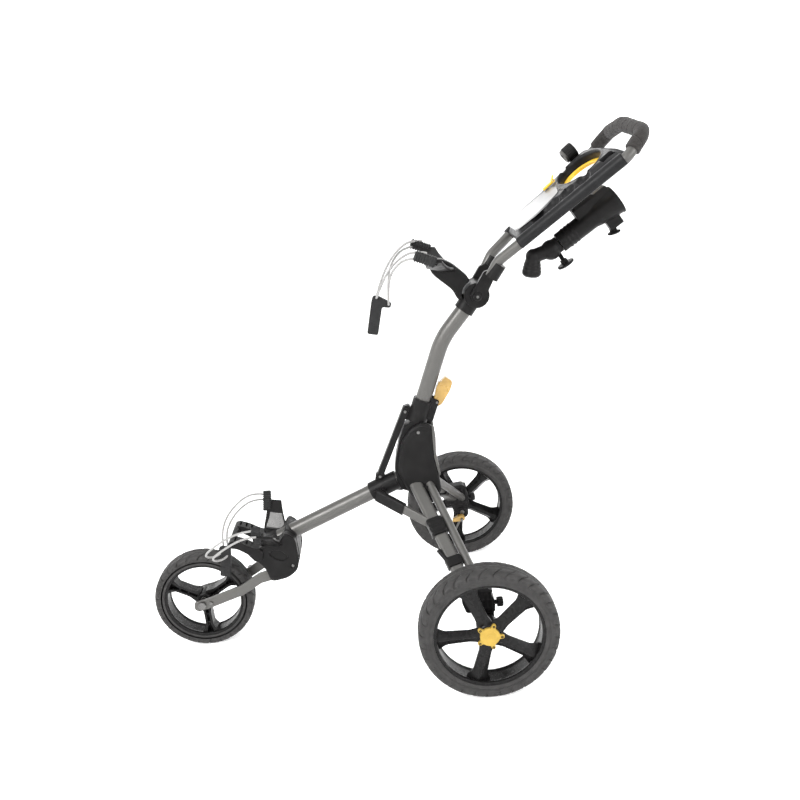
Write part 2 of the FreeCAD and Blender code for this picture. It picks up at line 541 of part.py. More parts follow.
# ---------------------------------------------------------------- umbrella holder under the tray
bar_a, bar_b = V(BARREL_X, -248, 877.5), V(BARREL_X, -375, 957.5)
bdir = (bar_b - bar_a).normalize()
flare = Part.makeCone(26.0, 33.0, 62.0, bar_b - bdir * 62, bdir)
barrel = rod(bar_a, bar_b - bdir * 62, 22.0).fuse(flare)
BORE_R = 17.5
bore = Part.makeCylinder(BORE_R, 400.0, bar_a + bdir * 20, bdir)
bn = V(0, -bdir.z, bdir.y) * -1
hang = bar(bar_b - bdir * 92 + bn * 16, bar_b - bdir * 6 + bn * 16, 30.0, 52.0, V(1, 0, 0), 4.0)
block2 = bar(bar_b - bdir * 46 - bn * 36, bar_b - bdir * 18 - bn * 36, 22.0, 24.0, V(1, 0, 0), 3.0)
barrel = barrel.fuse(block2)
holder = barrel.fuse(hang)
holder = cleared(holder, bore, deck, tube_out, body)
knob_axis = V(0, -0.26, -0.966)
knob_at = V(BARREL_X, -359.5, 913.0)
holder = holder.cut(Part.makeCylinder(4.05, 40, knob_at - knob_axis * 12, knob_axis))
save("umbrella_barrel", holder)
bk = Part.makeCylinder(4.0, 37, knob_at - knob_axis * 11, knob_axis)
bk = bk.fuse(Part.makeCylinder(14.0, 5.0, knob_at + knob_axis * 24, knob_axis))
save("barrel_knob", bk)
ELBOW_R = 22.0
elbow_at, cone_at, cone_dir = bar_a - bdir * 22, V(BARREL_X, -190.5, 856), V(0, 0.17, -0.985)
elbow = rod(elbow_at, bar_a - bdir * 0.4, 18.0).fuse(Part.makeSphere(ELBOW_R, elbow_at))
elbow = elbow.fuse(rod(elbow_at, cone_at, 15.5)).fuse(Part.makeSphere(16.5, cone_at))
elbow = elbow.fuse(Part.makeCone(16.0, 21.0, 36.0, cone_at, cone_dir))
elbow = elbow.fuse(Part.makeCone(21.0, 13.0, 9.0, cone_at + cone_dir * 36, cone_dir))
elbow = elbow.cut(Part.makeCylinder(60, 60, bar_a - bdir * 0.4, bdir))
k2_at = V(BARREL_X, -244.6, 858.9)
k_dir = V(0, -0.48, -0.877)
elbow = cleared(elbow, Part.makeCylinder(4.05, 60, k2_at - k_dir * 14, k_dir), deck, tube_out)
save("umbrella_elbow", elbow)
k2 = Part.makeCylinder(4.0, 44, k2_at - k_dir * 12, k_dir)
k2 = k2.fuse(Part.makeCylinder(19.0, 6.0, k2_at + k_dir * 28, k_dir))
save("elbow_knob", k2)

# ---------------------------------------------------------------- elastic loops with rubber pull tabs
def cord_path(pts):
    radii = [0.0]
    for i in range(1, len(pts) - 1):
        u, w = pts[i - 1] - pts[i], pts[i + 1] - pts[i]
        turn = math.pi - u.getAngle(w)
        radii.append(0.45 * min(u.Length, w.Length) / math.tan(turn / 2))
    return radii + [0.0]


def cord(name, pts):
    radii = cord_path(pts)
    s, path = sweep(pts, CORD_D / 2, radii)
    print(name, "length %.1f" % path.Length, "radii", ["%.1f" % r for r in radii[1:-1]])
    print("   volume ratio %.4f" % (s.Volume / (path.Length * math.pi * CORD_D ** 2 / 4)))
    save(name, s)
    return s


def both_sides(pts):
    return pts + [V(-p.x, p.y, p.z) for p in reversed(pts)]


UPPER_A = [V(-112, 40, 899), V(-99, 66, 905), V(-78, 96, 891), V(-56, 122, 865), V(-36, 142, 832),
           V(-16, 156, 800)]
UPPER_B = [V(-108, 58, 890), V(-92, 84, 890), V(-72, 106, 874), V(-52, 122, 850), V(-34, 128, 816),
           V(-16, 131, 782)]
LOWER_A = [V(112, 486, 320), V(106, 508, 329), V(92, 532, 331), V(74, 552, 324), V(54, 568, 314),
           V(33, 579, 303), V(13, 585, 290), V(-7, 586, 276), V(-24, 583, 262), V(-37, 584, 250),
           V(-45, 598, 243), V(-54, 614, 245), V(-67, 619, 257), V(-80, 607, 273), V(-92, 586, 290),
           V(-102, 563, 306), V(-109, 538, 319), V(-112, 512, 326), V(-112, 487, 327)]
LOWER_B = [V(112, 486, 307), V(104, 510, 314), V(89, 531, 315), V(71, 549, 309), V(51, 563, 300),
           V(31, 573, 289), V(11, 578, 277), V(-9, 577, 264), V(-26, 573, 251), V(-40, 572, 240),
           V(-49, 585, 234), V(-59, 600, 237), V(-72, 603, 249), V(-84, 590, 264), V(-94, 570, 279),
           V(-103, 549, 293), V(-109, 526, 305), V(-112, 503, 311), V(-112, 486, 311)]
cord_ua = cord("upper_cord_a", both_sides(UPPER_A))
cord_ub = cord("upper_cord_b", both_sides(UPPER_B))
cord_la = cord("lower_cord_a", LOWER_A)
cord_lb = cord("lower_cord_b", LOWER_B)
tab = plate([(163, 806), (168, 794), (186, 722), (162, 716), (146, 778), (128, 774), (124, 785),
             (150, 803)], -4.0, 4.0, 3.0)
save("upper_cord_tab", cleared(tab, cord_ua, cord_ub))
TAB_X = -38.0
low_tab = plate([(563, 262), (590, 264), (594, 250), (592, 222), (600, 190), (576, 184), (570, 214),
                 (566, 240)], TAB_X - 4.0, TAB_X + 4.0, 4.0)
save("lower_cord_tab", cleared(low_tab, cord_la, cord_lb))
pads = [up_pad, mirror(up_pad), low_pad, mirror(low_pad)]
pads = [cleared(p, cord_ua, cord_ub, cord_la, cord_lb) for p in pads]
save("rubber_pads", group(pads))
neck = cleared(neck, up_pad, mirror(up_pad), cord_ua, cord_ub)
half_l = cleared(half_l, cord_la, cord_lb)
half_r = cleared(half_r, low_pad.mirror(V(0, 0, 0), V(1, 0, 0)), cord_la, cord_lb)
save("upper_bracket", neck)
save("top_collar", top)
save("lower_shell_left", half_l)
save("lower_shell_right", half_r)
pins = [pin_top, pin_end, lever_pin, axle, mirror(axle), brake_pin]
save("frame_fasteners", group(frame_screws + low_screws + pins))

for name, shape in NODES.items():
    shape = shape.copy()
    shape.translate(V(0, -Y_MID, 0))
    ok = shape.isValid()
    bb = shape.BoundBox
    print("%-20s solids %d valid %s vol %.0f  x %.1f..%.1f y %.1f..%.1f z %.1f..%.1f" % (
        name, len(shape.Solids), ok, shape.Volume, bb.XMin, bb.XMax, bb.YMin, bb.YMax, bb.ZMin, bb.ZMax))
    shape.exportStep(os.path.join("parts", name + ".step"))
print(len(NODES), "nodes; y_mid", Y_MID)
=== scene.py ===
import json
import math

import bmesh
import bpy
from mathutils import Matrix, Vector


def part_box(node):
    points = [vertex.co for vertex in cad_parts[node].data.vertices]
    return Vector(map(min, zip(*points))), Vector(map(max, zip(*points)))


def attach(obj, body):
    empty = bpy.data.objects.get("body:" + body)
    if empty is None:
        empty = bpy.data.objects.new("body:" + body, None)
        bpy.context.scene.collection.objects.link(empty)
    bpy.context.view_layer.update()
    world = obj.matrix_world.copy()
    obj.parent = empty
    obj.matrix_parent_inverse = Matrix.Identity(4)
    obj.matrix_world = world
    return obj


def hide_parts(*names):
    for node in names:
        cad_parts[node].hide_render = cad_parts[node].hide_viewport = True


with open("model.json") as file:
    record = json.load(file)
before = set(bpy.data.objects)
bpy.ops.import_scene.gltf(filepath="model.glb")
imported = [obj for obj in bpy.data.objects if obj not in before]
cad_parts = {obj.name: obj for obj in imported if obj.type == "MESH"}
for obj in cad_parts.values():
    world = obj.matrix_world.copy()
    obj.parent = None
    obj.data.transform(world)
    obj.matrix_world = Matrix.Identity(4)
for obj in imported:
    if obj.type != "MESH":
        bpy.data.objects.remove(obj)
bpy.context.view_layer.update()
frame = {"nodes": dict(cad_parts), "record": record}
NODES = frame["nodes"]


# ---- places taken from the frame
front_lo, front_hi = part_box("front_tyre")
FRONT_C = (front_lo + front_hi) / 2


# ---- materials
class Mat:
    """A small builder for node materials; coordinates are in metres."""

    def __init__(self, name, color, rough=0.5, metal=0.0, **sockets):
        self.m = bpy.data.materials.new(name)
        self.m.use_nodes = True
        self.t = self.m.node_tree
        self.b = self.t.nodes["Principled BSDF"]
        self.b.inputs["Base Color"].default_value = (*color, 1)
        self.b.inputs["Roughness"].default_value = rough
        self.b.inputs["Metallic"].default_value = metal
        for k, v in sockets.items():
            self.b.inputs[k.replace("_", " ")].default_value = v
        self.co = self.t.nodes.new("ShaderNodeTexCoord").outputs["Object"]
        self.height = None

    def node(self, kind, **values):
        n = self.t.nodes.new(kind)
        for k, v in values.items():
            if k in n.inputs:
                n.inputs[k].default_value = v
            else:
                setattr(n, k, v)
        return n

    def link(self, a, b):
        self.t.links.new(a, b)

    def noise(self, size, detail=3.0, stretch=None):
        co = self.co
        if stretch:
            mp = self.node("ShaderNodeMapping")
            mp.inputs["Scale"].default_value = stretch
            self.link(co, mp.inputs["Vector"])
            co = mp.outputs["Vector"]
        n = self.node("ShaderNodeTexNoise", Scale=1.0 / size, Detail=detail)
        self.link(co, n.inputs["Vector"])
        return n.outputs["Fac"]

    def cells(self, size):
        n = self.node("ShaderNodeTexVoronoi", Scale=1.0 / size)
        self.link(self.co, n.inputs["Vector"])
        return n.outputs["Distance"]

    def ramp(self, fac, stops):
        r = self.t.nodes.new("ShaderNodeValToRGB")
        r.color_ramp.elements[0].position, r.color_ramp.elements[0].color = stops[0][0], (*stops[0][1], 1)
        r.color_ramp.elements[1].position, r.color_ramp.elements[1].color = stops[-1][0], (*stops[-1][1], 1)
        for pos, col in stops[1:-1]:
            e = r.color_ramp.elements.new(pos)
            e.color = (*col, 1)
        self.link(fac, r.inputs["Fac"])
        return r.outputs["Color"]

    def vary(self, fac, low, high, lo=0.3, hi=0.7):
        self.link(self.ramp(fac, [(lo, low), (hi, high)]), self.b.inputs["Base Color"])

    def rough(self, fac, low, high, lo=0.3, hi=0.7):
        r = self.node("ShaderNodeMapRange")
        for k, v in (("From Min", lo), ("From Max", hi), ("To Min", low), ("To Max", high)):
            r.inputs[k].default_value = v
        self.link(fac, r.inputs["Value"])
        self.link(r.outputs["Result"], self.b.inputs["Roughness"])

    def bump(self, fac, depth, strength=1.0):
        n = self.node("ShaderNodeBump", Distance=depth, Strength=strength)
        self.link(fac, n.inputs["Height"])
        if self.height is not None:
            self.link(self.height, n.inputs["Normal"])
        self.height = n.outputs["Normal"]
        self.link(self.height, self.b.inputs["Normal"])


def shade(color, k):
    return tuple(min(1.0, c * k) for c in color)


def metallic_paint(name, color):
    m = Mat(name, color, 0.36, 0.45, Coat_Weight=0.15, Coat_Roughness=0.25, Specular_IOR_Level=0.3)
    m.vary(m.noise(0.0006, 2), shade(color, 0.88), shade(color, 1.14))
    m.rough(m.noise(0.02, 4), 0.32, 0.44)
    m.bump(m.noise(0.0009, 2), 0.00003)
    return m.m


def moulded(name, color, rough, grain=0.0007, depth=0.00005, metal=0.0, sheen=0.1):
    m = Mat(name, color, rough, metal, Specular_IOR_Level=sheen)
    m.vary(m.noise(0.03, 5), shade(color, 0.82), shade(color, 1.22))
    m.rough(m.noise(0.012, 4), rough - 0.07, rough + 0.08)
    m.bump(m.cells(grain), depth)
    m.bump(m.noise(0.004, 3), depth * 0.8)
    return m.m


def rubber(name, color):
    m = Mat(name, color, 0.6, 0.0, Specular_IOR_Level=0.22)
    m.vary(m.noise(0.015, 5), shade(color, 0.8), shade(color, 1.25))
    m.rough(m.noise(0.008, 4), 0.5, 0.68)
    m.bump(m.noise(0.0012, 4), 0.00008)
    return m.m


def foam(name, color):
    m = Mat(name, color, 0.85, 0.0, Sheen_Weight=0.12, Sheen_Roughness=0.5, Specular_IOR_Level=0.2)
    m.vary(m.noise(0.006, 5), shade(color, 0.75), shade(color, 1.25))
    m.bump(m.cells(0.0011), 0.00025)
    m.bump(m.noise(0.0035, 3), 0.0002)
    return m.m


def steel(name, color):
    m = Mat(name, color, 0.3, 1.0)
    m.vary(m.noise(0.004, 4, (1, 8, 8)), shade(color, 0.8), shade(color, 1.15))
    m.rough(m.noise(0.003, 4), 0.24, 0.42)
    m.bump(m.noise(0.0008, 2), 0.00002)
    return m.m


def woven(name, color):
    m = Mat(name, color, 0.75, 0.0, Sheen_Weight=0.3)
    w = m.node("ShaderNodeTexWave", Scale=260.0, Distortion=1.5)
    w.bands_direction = "DIAGONAL"
    m.link(m.co, w.inputs["Vector"])
    m.vary(w.outputs["Fac"], shade(color, 0.72), shade(color, 1.1), 0.2, 0.8)
    m.bump(w.outputs["Fac"], 0.0003)
    m.bump(m.cells(0.0009), 0.0001)
    return m.m


def card_panel_painted_reflection(name, low, high):
    """Satin card panel with a painted reflection: pale at its lower end and darker up the slope."""
    m = Mat(name, low, 0.3, 0.3, Coat_Weight=0.2, Coat_Roughness=0.15)
    split = m.node("ShaderNodeSeparateXYZ")
    m.link(m.co, split.inputs["Vector"])
    # painted reflection: colour fades from low (pale) at Z 0.925 m to high (dark) at Z 0.985 m
    reflection_fade = m.node("ShaderNodeMapRange")
    for k, v in (("From Min", 0.925), ("From Max", 0.985), ("To Min", 0.0), ("To Max", 1.0)):
        reflection_fade.inputs[k].default_value = v
    m.link(split.outputs["Z"], reflection_fade.inputs["Value"])
    m.vary(reflection_fade.outputs["Result"], low, high, 0.1, 0.9)
    m.rough(m.noise(0.03, 3), 0.3, 0.35)
    m.bump(m.noise(0.002, 2), 0.000004)
    return m.m


def frosted(name, color):
    m = Mat(name, color, 0.28, 0.0, Transmission_Weight=0.12, IOR=1.45, Coat_Weight=0.3, Coat_Roughness=0.1)
    m.vary(m.noise(0.03, 3), shade(color, 0.7), shade(color, 1.35))
    m.rough(m.noise(0.02, 3), 0.24, 0.34)
    m.bump(m.noise(0.006, 2), 0.00002)
    return m.m


GREY = (0.078, 0.076, 0.072)
MATS = {
    "frame_grey": metallic_paint("frame_grey", GREY),
    "black_plastic": moulded("black_plastic", (0.0075, 0.0072, 0.0072), 0.36),
    "deck_plastic": moulded("deck_plastic", (0.011, 0.011, 0.0115), 0.34),
    "panel_grey": moulded("panel_grey", (0.17, 0.168, 0.165), 0.3, 0.0009, 0.00003, 0.3, 0.4),
    "rim_black": moulded("rim_black", (0.007, 0.0068, 0.0068), 0.27, 0.002, 0.00001, 0.0, 0.12),
    "tyre": rubber("tyre", (0.026, 0.025, 0.0245)),
    "gold": moulded("gold", (0.36, 0.24, 0.05), 0.38, 0.0004, 0.00003, 0.25),
    "amber": frosted("amber", (0.33, 0.2, 0.045)),
    "yellow": moulded("yellow", (0.66, 0.41, 0.025), 0.34, 0.0005, 0.00003, 0.0, 0.35),
    "steel": steel("steel", (0.14, 0.138, 0.135)),
    "foam": foam("foam", (0.022, 0.020, 0.019)),
    "rubber": rubber("rubber", (0.009, 0.009, 0.0092)),
    "cord": woven("cord", (0.27, 0.265, 0.26)),
    # card panel: its pale lower end is a painted reflection of the white surroundings, not its own colour
    "clear": card_panel_painted_reflection("clear", (0.42, 0.42, 0.42), (0.07, 0.07, 0.072)),
    "bush": moulded("bush", (0.6, 0.58, 0.54), 0.4),
}
SLOT_OF = {s["node"]: s["material_slot"] for s in frame["record"]["subparts"]}
for name, obj in NODES.items():
    obj.data.materials.clear()
    obj.data.materials.append(MATS[SLOT_OF[name]])


# ---- camera, floor and light
EYE = Vector((-1.91776, -0.0627, 1.13315))
RIGHT = Vector((-0.023598, -0.993729, -0.109297))
UP = Vector((0.285668, -0.111472, 0.951823))
BACK = Vector((-0.958038, -0.008761, 0.286507))
LENS_MM, SENSOR_MM = 39.41, 36.0
FLOOR_HALF, FLOOR_GLOW = 60.0, 0.34
WALL_R, WALL_FOOT, WALL_TOP, WALL_SIDES, WALL_GLOW = 55.0, -1.0, 30.0, 64, 1.05
SKY = 0.6


def placed(name, data):
    ob = bpy.data.objects.new(name, data)
    bpy.context.scene.collection.objects.link(ob)
    return ob


def mesh_of(name, bm_):
    me = bpy.data.meshes.new(name)
    bm_.to_mesh(me)
    bm_.free()
    return me


cam = placed("camera", bpy.data.cameras.new("camera"))
cam.data.lens, cam.data.sensor_width, cam.data.clip_start = LENS_MM, SENSOR_MM, 0.05
m3 = Matrix((RIGHT, UP, BACK)).transposed()
cam.matrix_world = Matrix.Translation(EYE) @ m3.to_4x4()
bpy.context.scene.camera = cam

bm = bmesh.new()
bmesh.ops.create_grid(bm, x_segments=2, y_segments=2, size=FLOOR_HALF)
floor = placed("floor", mesh_of("floor", bm))
floor_mat = Mat("floor", (0.93, 0.93, 0.93), 0.7, 0.0, Specular_IOR_Level=0.1)
floor_mat.vary(floor_mat.noise(0.4, 3), (0.925, 0.925, 0.925), (0.94, 0.94, 0.94))
floor_mat.b.inputs["Emission Color"].default_value = (1, 1, 1, 1)
floor_mat.b.inputs["Emission Strength"].default_value = FLOOR_GLOW
floor.data.materials.append(floor_mat.m)

# pale ring wall far away, so that floor and background meet without a line from any side
bm = bmesh.new()
turns = [2 * math.pi * k / WALL_SIDES for k in range(WALL_SIDES)]
low, high = [[bm.verts.new((WALL_R * math.cos(t), WALL_R * math.sin(t), z)) for t in turns]
             for z in (WALL_FOOT, WALL_TOP)]
for k in range(WALL_SIDES):
    n = (k + 1) % WALL_SIDES
    bm.faces.new((low[n], low[k], high[k], high[n]))
wall = placed("wall", mesh_of("wall", bm))
wall_mat = Mat("wall", (0.9, 0.9, 0.9), 0.8, 0.0, Emission_Strength=WALL_GLOW)
wall_mat.vary(wall_mat.noise(2.0, 2), (0.89, 0.89, 0.89), (0.91, 0.91, 0.91))
wall_mat.b.inputs["Emission Color"].default_value = (1, 1, 1, 1)
wall.data.materials.append(wall_mat.m)

world = bpy.data.worlds.new("studio")
bpy.context.scene.world = world
world.use_nodes = True
world.node_tree.nodes["Background"].inputs["Color"].default_value = (1, 1, 1, 1)
world.node_tree.nodes["Background"].inputs["Strength"].default_value = SKY


def area(name, place, aim, size, power):
    light = placed(name, bpy.data.lights.new(name, "AREA"))
    light.data.shape = "RECTANGLE"
    light.data.size, light.data.size_y = size
    light.data.energy = power
    light.location = place
    light.rotation_euler = (Vector(aim) - Vector(place)).to_track_quat("-Z", "Y").to_euler()


area("key", (-2.2, 2.0, 2.8), (0, 0, 0.4), (1.6, 1.6), 125)
area("fill", (-2.0, -2.6, 1.8), (0, 0, 0.5), (1.6, 2.2), 45)
area("top", (0.4, 0.0, 3.6), (0, 0, 0.3), (3.0, 3.0), 45)
sun = placed("overcast", bpy.data.lights.new("overcast", "SUN"))
sun.data.energy = 0.55
sun.data.angle = math.radians(120)
bpy.context.scene.view_settings.view_transform = "Standard"


# ---- mesh helpers
FRONT_Y = 0.6538
Y_MID = FRONT_Y - FRONT_C.y


def at(x, y, z):
    """A place in the model's own millimetres, origin under the rear axle."""
    return Vector((x / 1000, y / 1000 - Y_MID, z / 1000))


def shade_smooth(me, degrees):
    for p in me.polygons:
        p.use_smooth = True
    me.set_sharp_from_angle(angle=math.radians(degrees))


def make(name, bm_, material, body=None, stands_for=(), smooth=35.0):
    bmesh.ops.remove_doubles(bm_, verts=bm_.verts, dist=1e-6)
    bmesh.ops.recalc_face_normals(bm_, faces=bm_.faces)
    me = mesh_of(name, bm_)
    ob = placed(name, me)
    me.materials.append(MATS[material])
    shade_smooth(me, smooth)
    if body:
        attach(ob, body)
    if stands_for:
        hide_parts(*stands_for)
    return ob


def ring_grid(bm_, rows, closed=True):
    """Lists of points of equal length joined into quads; the last row joins the first if closed."""
    vs = [[bm_.verts.new(p) for p in row] for row in rows]
    n = len(vs)
    for i in range(n if closed else n - 1):
        a, b = vs[i], vs[(i + 1) % n]
        for j in range(len(a)):
            k = (j + 1) % len(a)
            bm_.faces.new((a[j], b[j], b[k], a[k]))
    return vs


def around(x, r, a):
    """A point at radius r and angle a about an X-parallel axis."""
    return Vector((x, r * math.cos(a), r * math.sin(a)))


def revolve(bm_, profile, centre, steps=160):
    """Closed profile of (x, r) turned about an X-parallel axis through centre."""
    rows = []
    for i in range(steps):
        a = 2 * math.pi * i / steps
        rows.append([centre + around(x, r, a) for x, r in profile])
    ring_grid(bm_, rows)


def loft(bm_, sections):
    """Closed sections joined in order, with capped ends."""
    vs = ring_grid(bm_, sections, closed=False)
    bm_.faces.new(vs[0])
    bm_.faces.new(list(reversed(vs[-1])))


def smoothstep(x):
    x = max(0.0, min(1.0, x))
    return x * x * (3 - 2 * x)


def frame_of(axis):
    """Two unit vectors across an axis."""
    side = Vector((1, 0, 0)) if abs(axis.x) < 0.9 else Vector((0, 1, 0))
    u = (side - axis * side.dot(axis)).normalized()
    return u, axis.cross(u)


def rounded(pts, radius, steps=6):
    """Corners of a flat outline replaced by arcs."""
    out = []
    n = len(pts)
    for i in range(n):
        p = Vector(pts[i])
        u, w = Vector(pts[i - 1]) - p, Vector(pts[(i + 1) % n]) - p
        cut = min(radius, 0.47 * u.length, 0.47 * w.length)
        a, b = p + u.normalized() * cut, p + w.normalized() * cut
        for k in range(steps + 1):
            t = k / steps
            out.append(a * (1 - t) ** 2 + p * 2 * t * (1 - t) + b * t * t)
    return out


class Solid:
    """Closed shapes in the model's millimetres, gathered in one mesh and fused afterwards."""

    def __init__(self):
        self.bm = bmesh.new()

    def sections(self, rows):
        loft(self.bm, [[at(*p) for p in row] for row in rows])
        return self

    def plate(self, outline, x0, x1, radius=4.0):
        flat = rounded(outline, radius)
        return self.sections([[(x, p[0], p[1]) for p in flat] for x in (x0, x1)])

    def cone(self, a, b, ra, rb, steps=48):
        axis = (b - a).normalized()
        u, v = frame_of(axis)
        turn = [2 * math.pi * k / steps for k in range(steps)]
        return self.sections([[c + u * r * math.cos(t) + v * r * math.sin(t) for t in turn]
                              for c, r in ((a, ra), (b, rb))])

    def turned(self, start, axis, profile, steps=64, wave=0.0, lobes=0):
        """Profile of (distance along, radius) turned about an axis; wave makes grip flutes."""
        axis = axis.normalized()
        u, v = frame_of(axis)
        rows = []
        for d, r in profile:
            row = []
            for k in range(steps):
                t = 2 * math.pi * k / steps
                q = r + (wave * math.cos(lobes * t) if r > 4 * abs(wave) else 0.0)
                row.append(start + axis * d + u * q * math.cos(t) + v * q * math.sin(t))
            rows.append(row)
        return self.sections(rows)

    def beam(self, a, b, width, height, side=Vector((1, 0, 0)), end=None, radius=2.0):
        """Rounded bar from a to b; end gives another (width, height) at b."""
        axis = (b - a).normalized()
        s = (side - axis * side.dot(axis)).normalized()
        h = axis.cross(s)
        rows = []
        for c, (w, t) in ((a, (width, height)), (b, end or (width, height))):
            flat = rounded([(-w / 2, -t / 2), (w / 2, -t / 2), (w / 2, t / 2), (-w / 2, t / 2)], radius, 4)
            rows.append([c + s * p[0] + h * p[1] for p in flat])
        return self.sections(rows)

    def ball(self, c, r):
        lat = [math.pi * k / 16 for k in range(17)]
        profile = [(-r * math.cos(t), max(0.02, r * math.sin(t))) for t in lat]
        return self.turned(c, Vector((0, 0, 1)), profile, 32)


def remesh(ob, voxel):
    step = ob.modifiers.new("remesh", "REMESH")
    step.mode, step.voxel_size = "VOXEL", voxel


def fused(name, solid, material, body, nodes=(), voxel=0.001, rounds=6, cuts=None, smooth=50.0):
    """One moulding from overlapping shapes: union and rounding by remesh, then cut-outs."""
    ob = make(name, solid.bm, material)
    remesh(ob, voxel)
    if cuts:
        tool = make(name + "_cut", cuts.bm, material)
        remesh(tool, voxel)
        cut = ob.modifiers.new("cut", "BOOLEAN")
        cut.operation, cut.solver, cut.object = "DIFFERENCE", "MANIFOLD", tool
        remesh(ob, voxel)
    soft = ob.modifiers.new("soften", "SMOOTH")
    soft.factor, soft.iterations = 0.5, rounds
    bpy.context.view_layer.update()
    shape = bpy.data.meshes.new_from_object(ob.evaluated_get(bpy.context.evaluated_depsgraph_get()))
    shape.name = name
    ob.modifiers.clear()
    ob.data = shape
    if cuts:
        bpy.data.objects.remove(tool)
    shade_smooth(shape, smooth)
    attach(ob, body)
    if nodes:
        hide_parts(*nodes)
    return ob


# ---- elastic loops
CORD_D = 0.0048
UPPER_A = [(-112, 40, 899), (-99, 66, 905), (-78, 96, 891), (-56, 122, 865), (-36, 142, 832),
           (-16, 156, 800)]
UPPER_B = [(-108, 58, 890), (-92, 84, 890), (-72, 106, 874), (-52, 122, 850), (-34, 128, 816),
           (-16, 131, 782)]
LOWER_A = [(112, 486, 320), (106, 508, 329), (92, 532, 331), (74, 552, 324), (54, 568, 314),
           (33, 579, 303), (13, 585, 290), (-7, 586, 276), (-24, 583, 262), (-37, 584, 250),
           (-45, 598, 243), (-54, 614, 245), (-67, 619, 257), (-80, 607, 273), (-92, 586, 290),
           (-102, 563, 306), (-109, 538, 319), (-112, 512, 326), (-112, 487, 327)]
LOWER_B = [(112, 486, 307), (104, 510, 314), (89, 531, 315), (71, 549, 309), (51, 563, 300),
           (31, 573, 289), (11, 578, 277), (-9, 577, 264), (-26, 573, 251), (-40, 572, 240),
           (-49, 585, 234), (-59, 600, 237), (-72, 603, 249), (-84, 590, 264), (-94, 570, 279),
           (-103, 549, 293), (-109, 526, 305), (-112, 503, 311), (-112, 486, 311)]


def both_sides(pts):
    return pts + [(-x, y, z) for x, y, z in reversed(pts)]


def elastic(name, node, pts):
    """A round elastic along its route."""
    curve = bpy.data.curves.new(name, "CURVE")
    curve.dimensions = "3D"
    curve.bevel_depth = CORD_D / 2
    curve.bevel_resolution = 5
    curve.resolution_u = 12
    curve.use_fill_caps = True
    spline = curve.splines.new("NURBS")
    spline.points.add(len(pts) - 1)
    for point, place in zip(spline.points, pts):
        point.co = (*at(*place), 1)
    spline.order_u = 3
    spline.use_endpoint_u = True
    ob = placed(name, curve)
    curve.materials.append(MATS["cord"])
    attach(ob, "frame")
    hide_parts(node)


def strap_tab(name, node, outline, x0, thick, grip_a, grip_b):
    """Pull tab: a flat strap with grip ribs near its free end."""
    s = Solid().plate(outline, x0 - thick / 2, x0 + thick / 2, 5.0)
    run = grip_b - grip_a
    for k in range(5):
        c = grip_a + run * (k / 4)
        d = run.normalized() * 1.1
        s.beam(c - d, c + d, thick + 1.6, 15.0, radius=1.0)
    return fused(name, s, "rubber", "frame", (node,), 0.0007, 4)


UPPER_TAB = [(163, 806), (168, 794), (186, 722), (162, 716), (146, 778), (128, 774), (124, 785), (150, 803)]
LOWER_TAB = [(563, 262), (590, 264), (594, 250), (592, 222), (600, 190), (576, 184), (570, 214), (566, 240)]
TAB_X, TAB_THICK = -38.0, 8.0
upper_tab = strap_tab("upper_pull_tab", "upper_cord_tab", UPPER_TAB, 0.0, TAB_THICK,
                      Vector((0, 171, 744)), Vector((0, 175, 726)))
lower_tab = strap_tab("lower_pull_tab", "lower_cord_tab", LOWER_TAB, TAB_X, TAB_THICK,
                      Vector((TAB_X, 586, 208)), Vector((TAB_X, 588, 192)))
elastic("upper_elastic_a", "upper_cord_a", both_sides(UPPER_A))
elastic("upper_elastic_b", "upper_cord_b", both_sides(UPPER_B))
elastic("lower_elastic_a", "lower_cord_a", LOWER_A)
elastic("lower_elastic_b", "lower_cord_b", LOWER_B)


# ---- wheels
SEAT = 0.79  # rim seat as a share of the tyre's radius


def wheel_space(node):
    """Centre, radius and half width of a tyre."""
    lo_, hi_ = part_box(node)
    return (lo_ + hi_) / 2, (hi_.z - lo_.z) / 2, (hi_.x - lo_.x) / 2


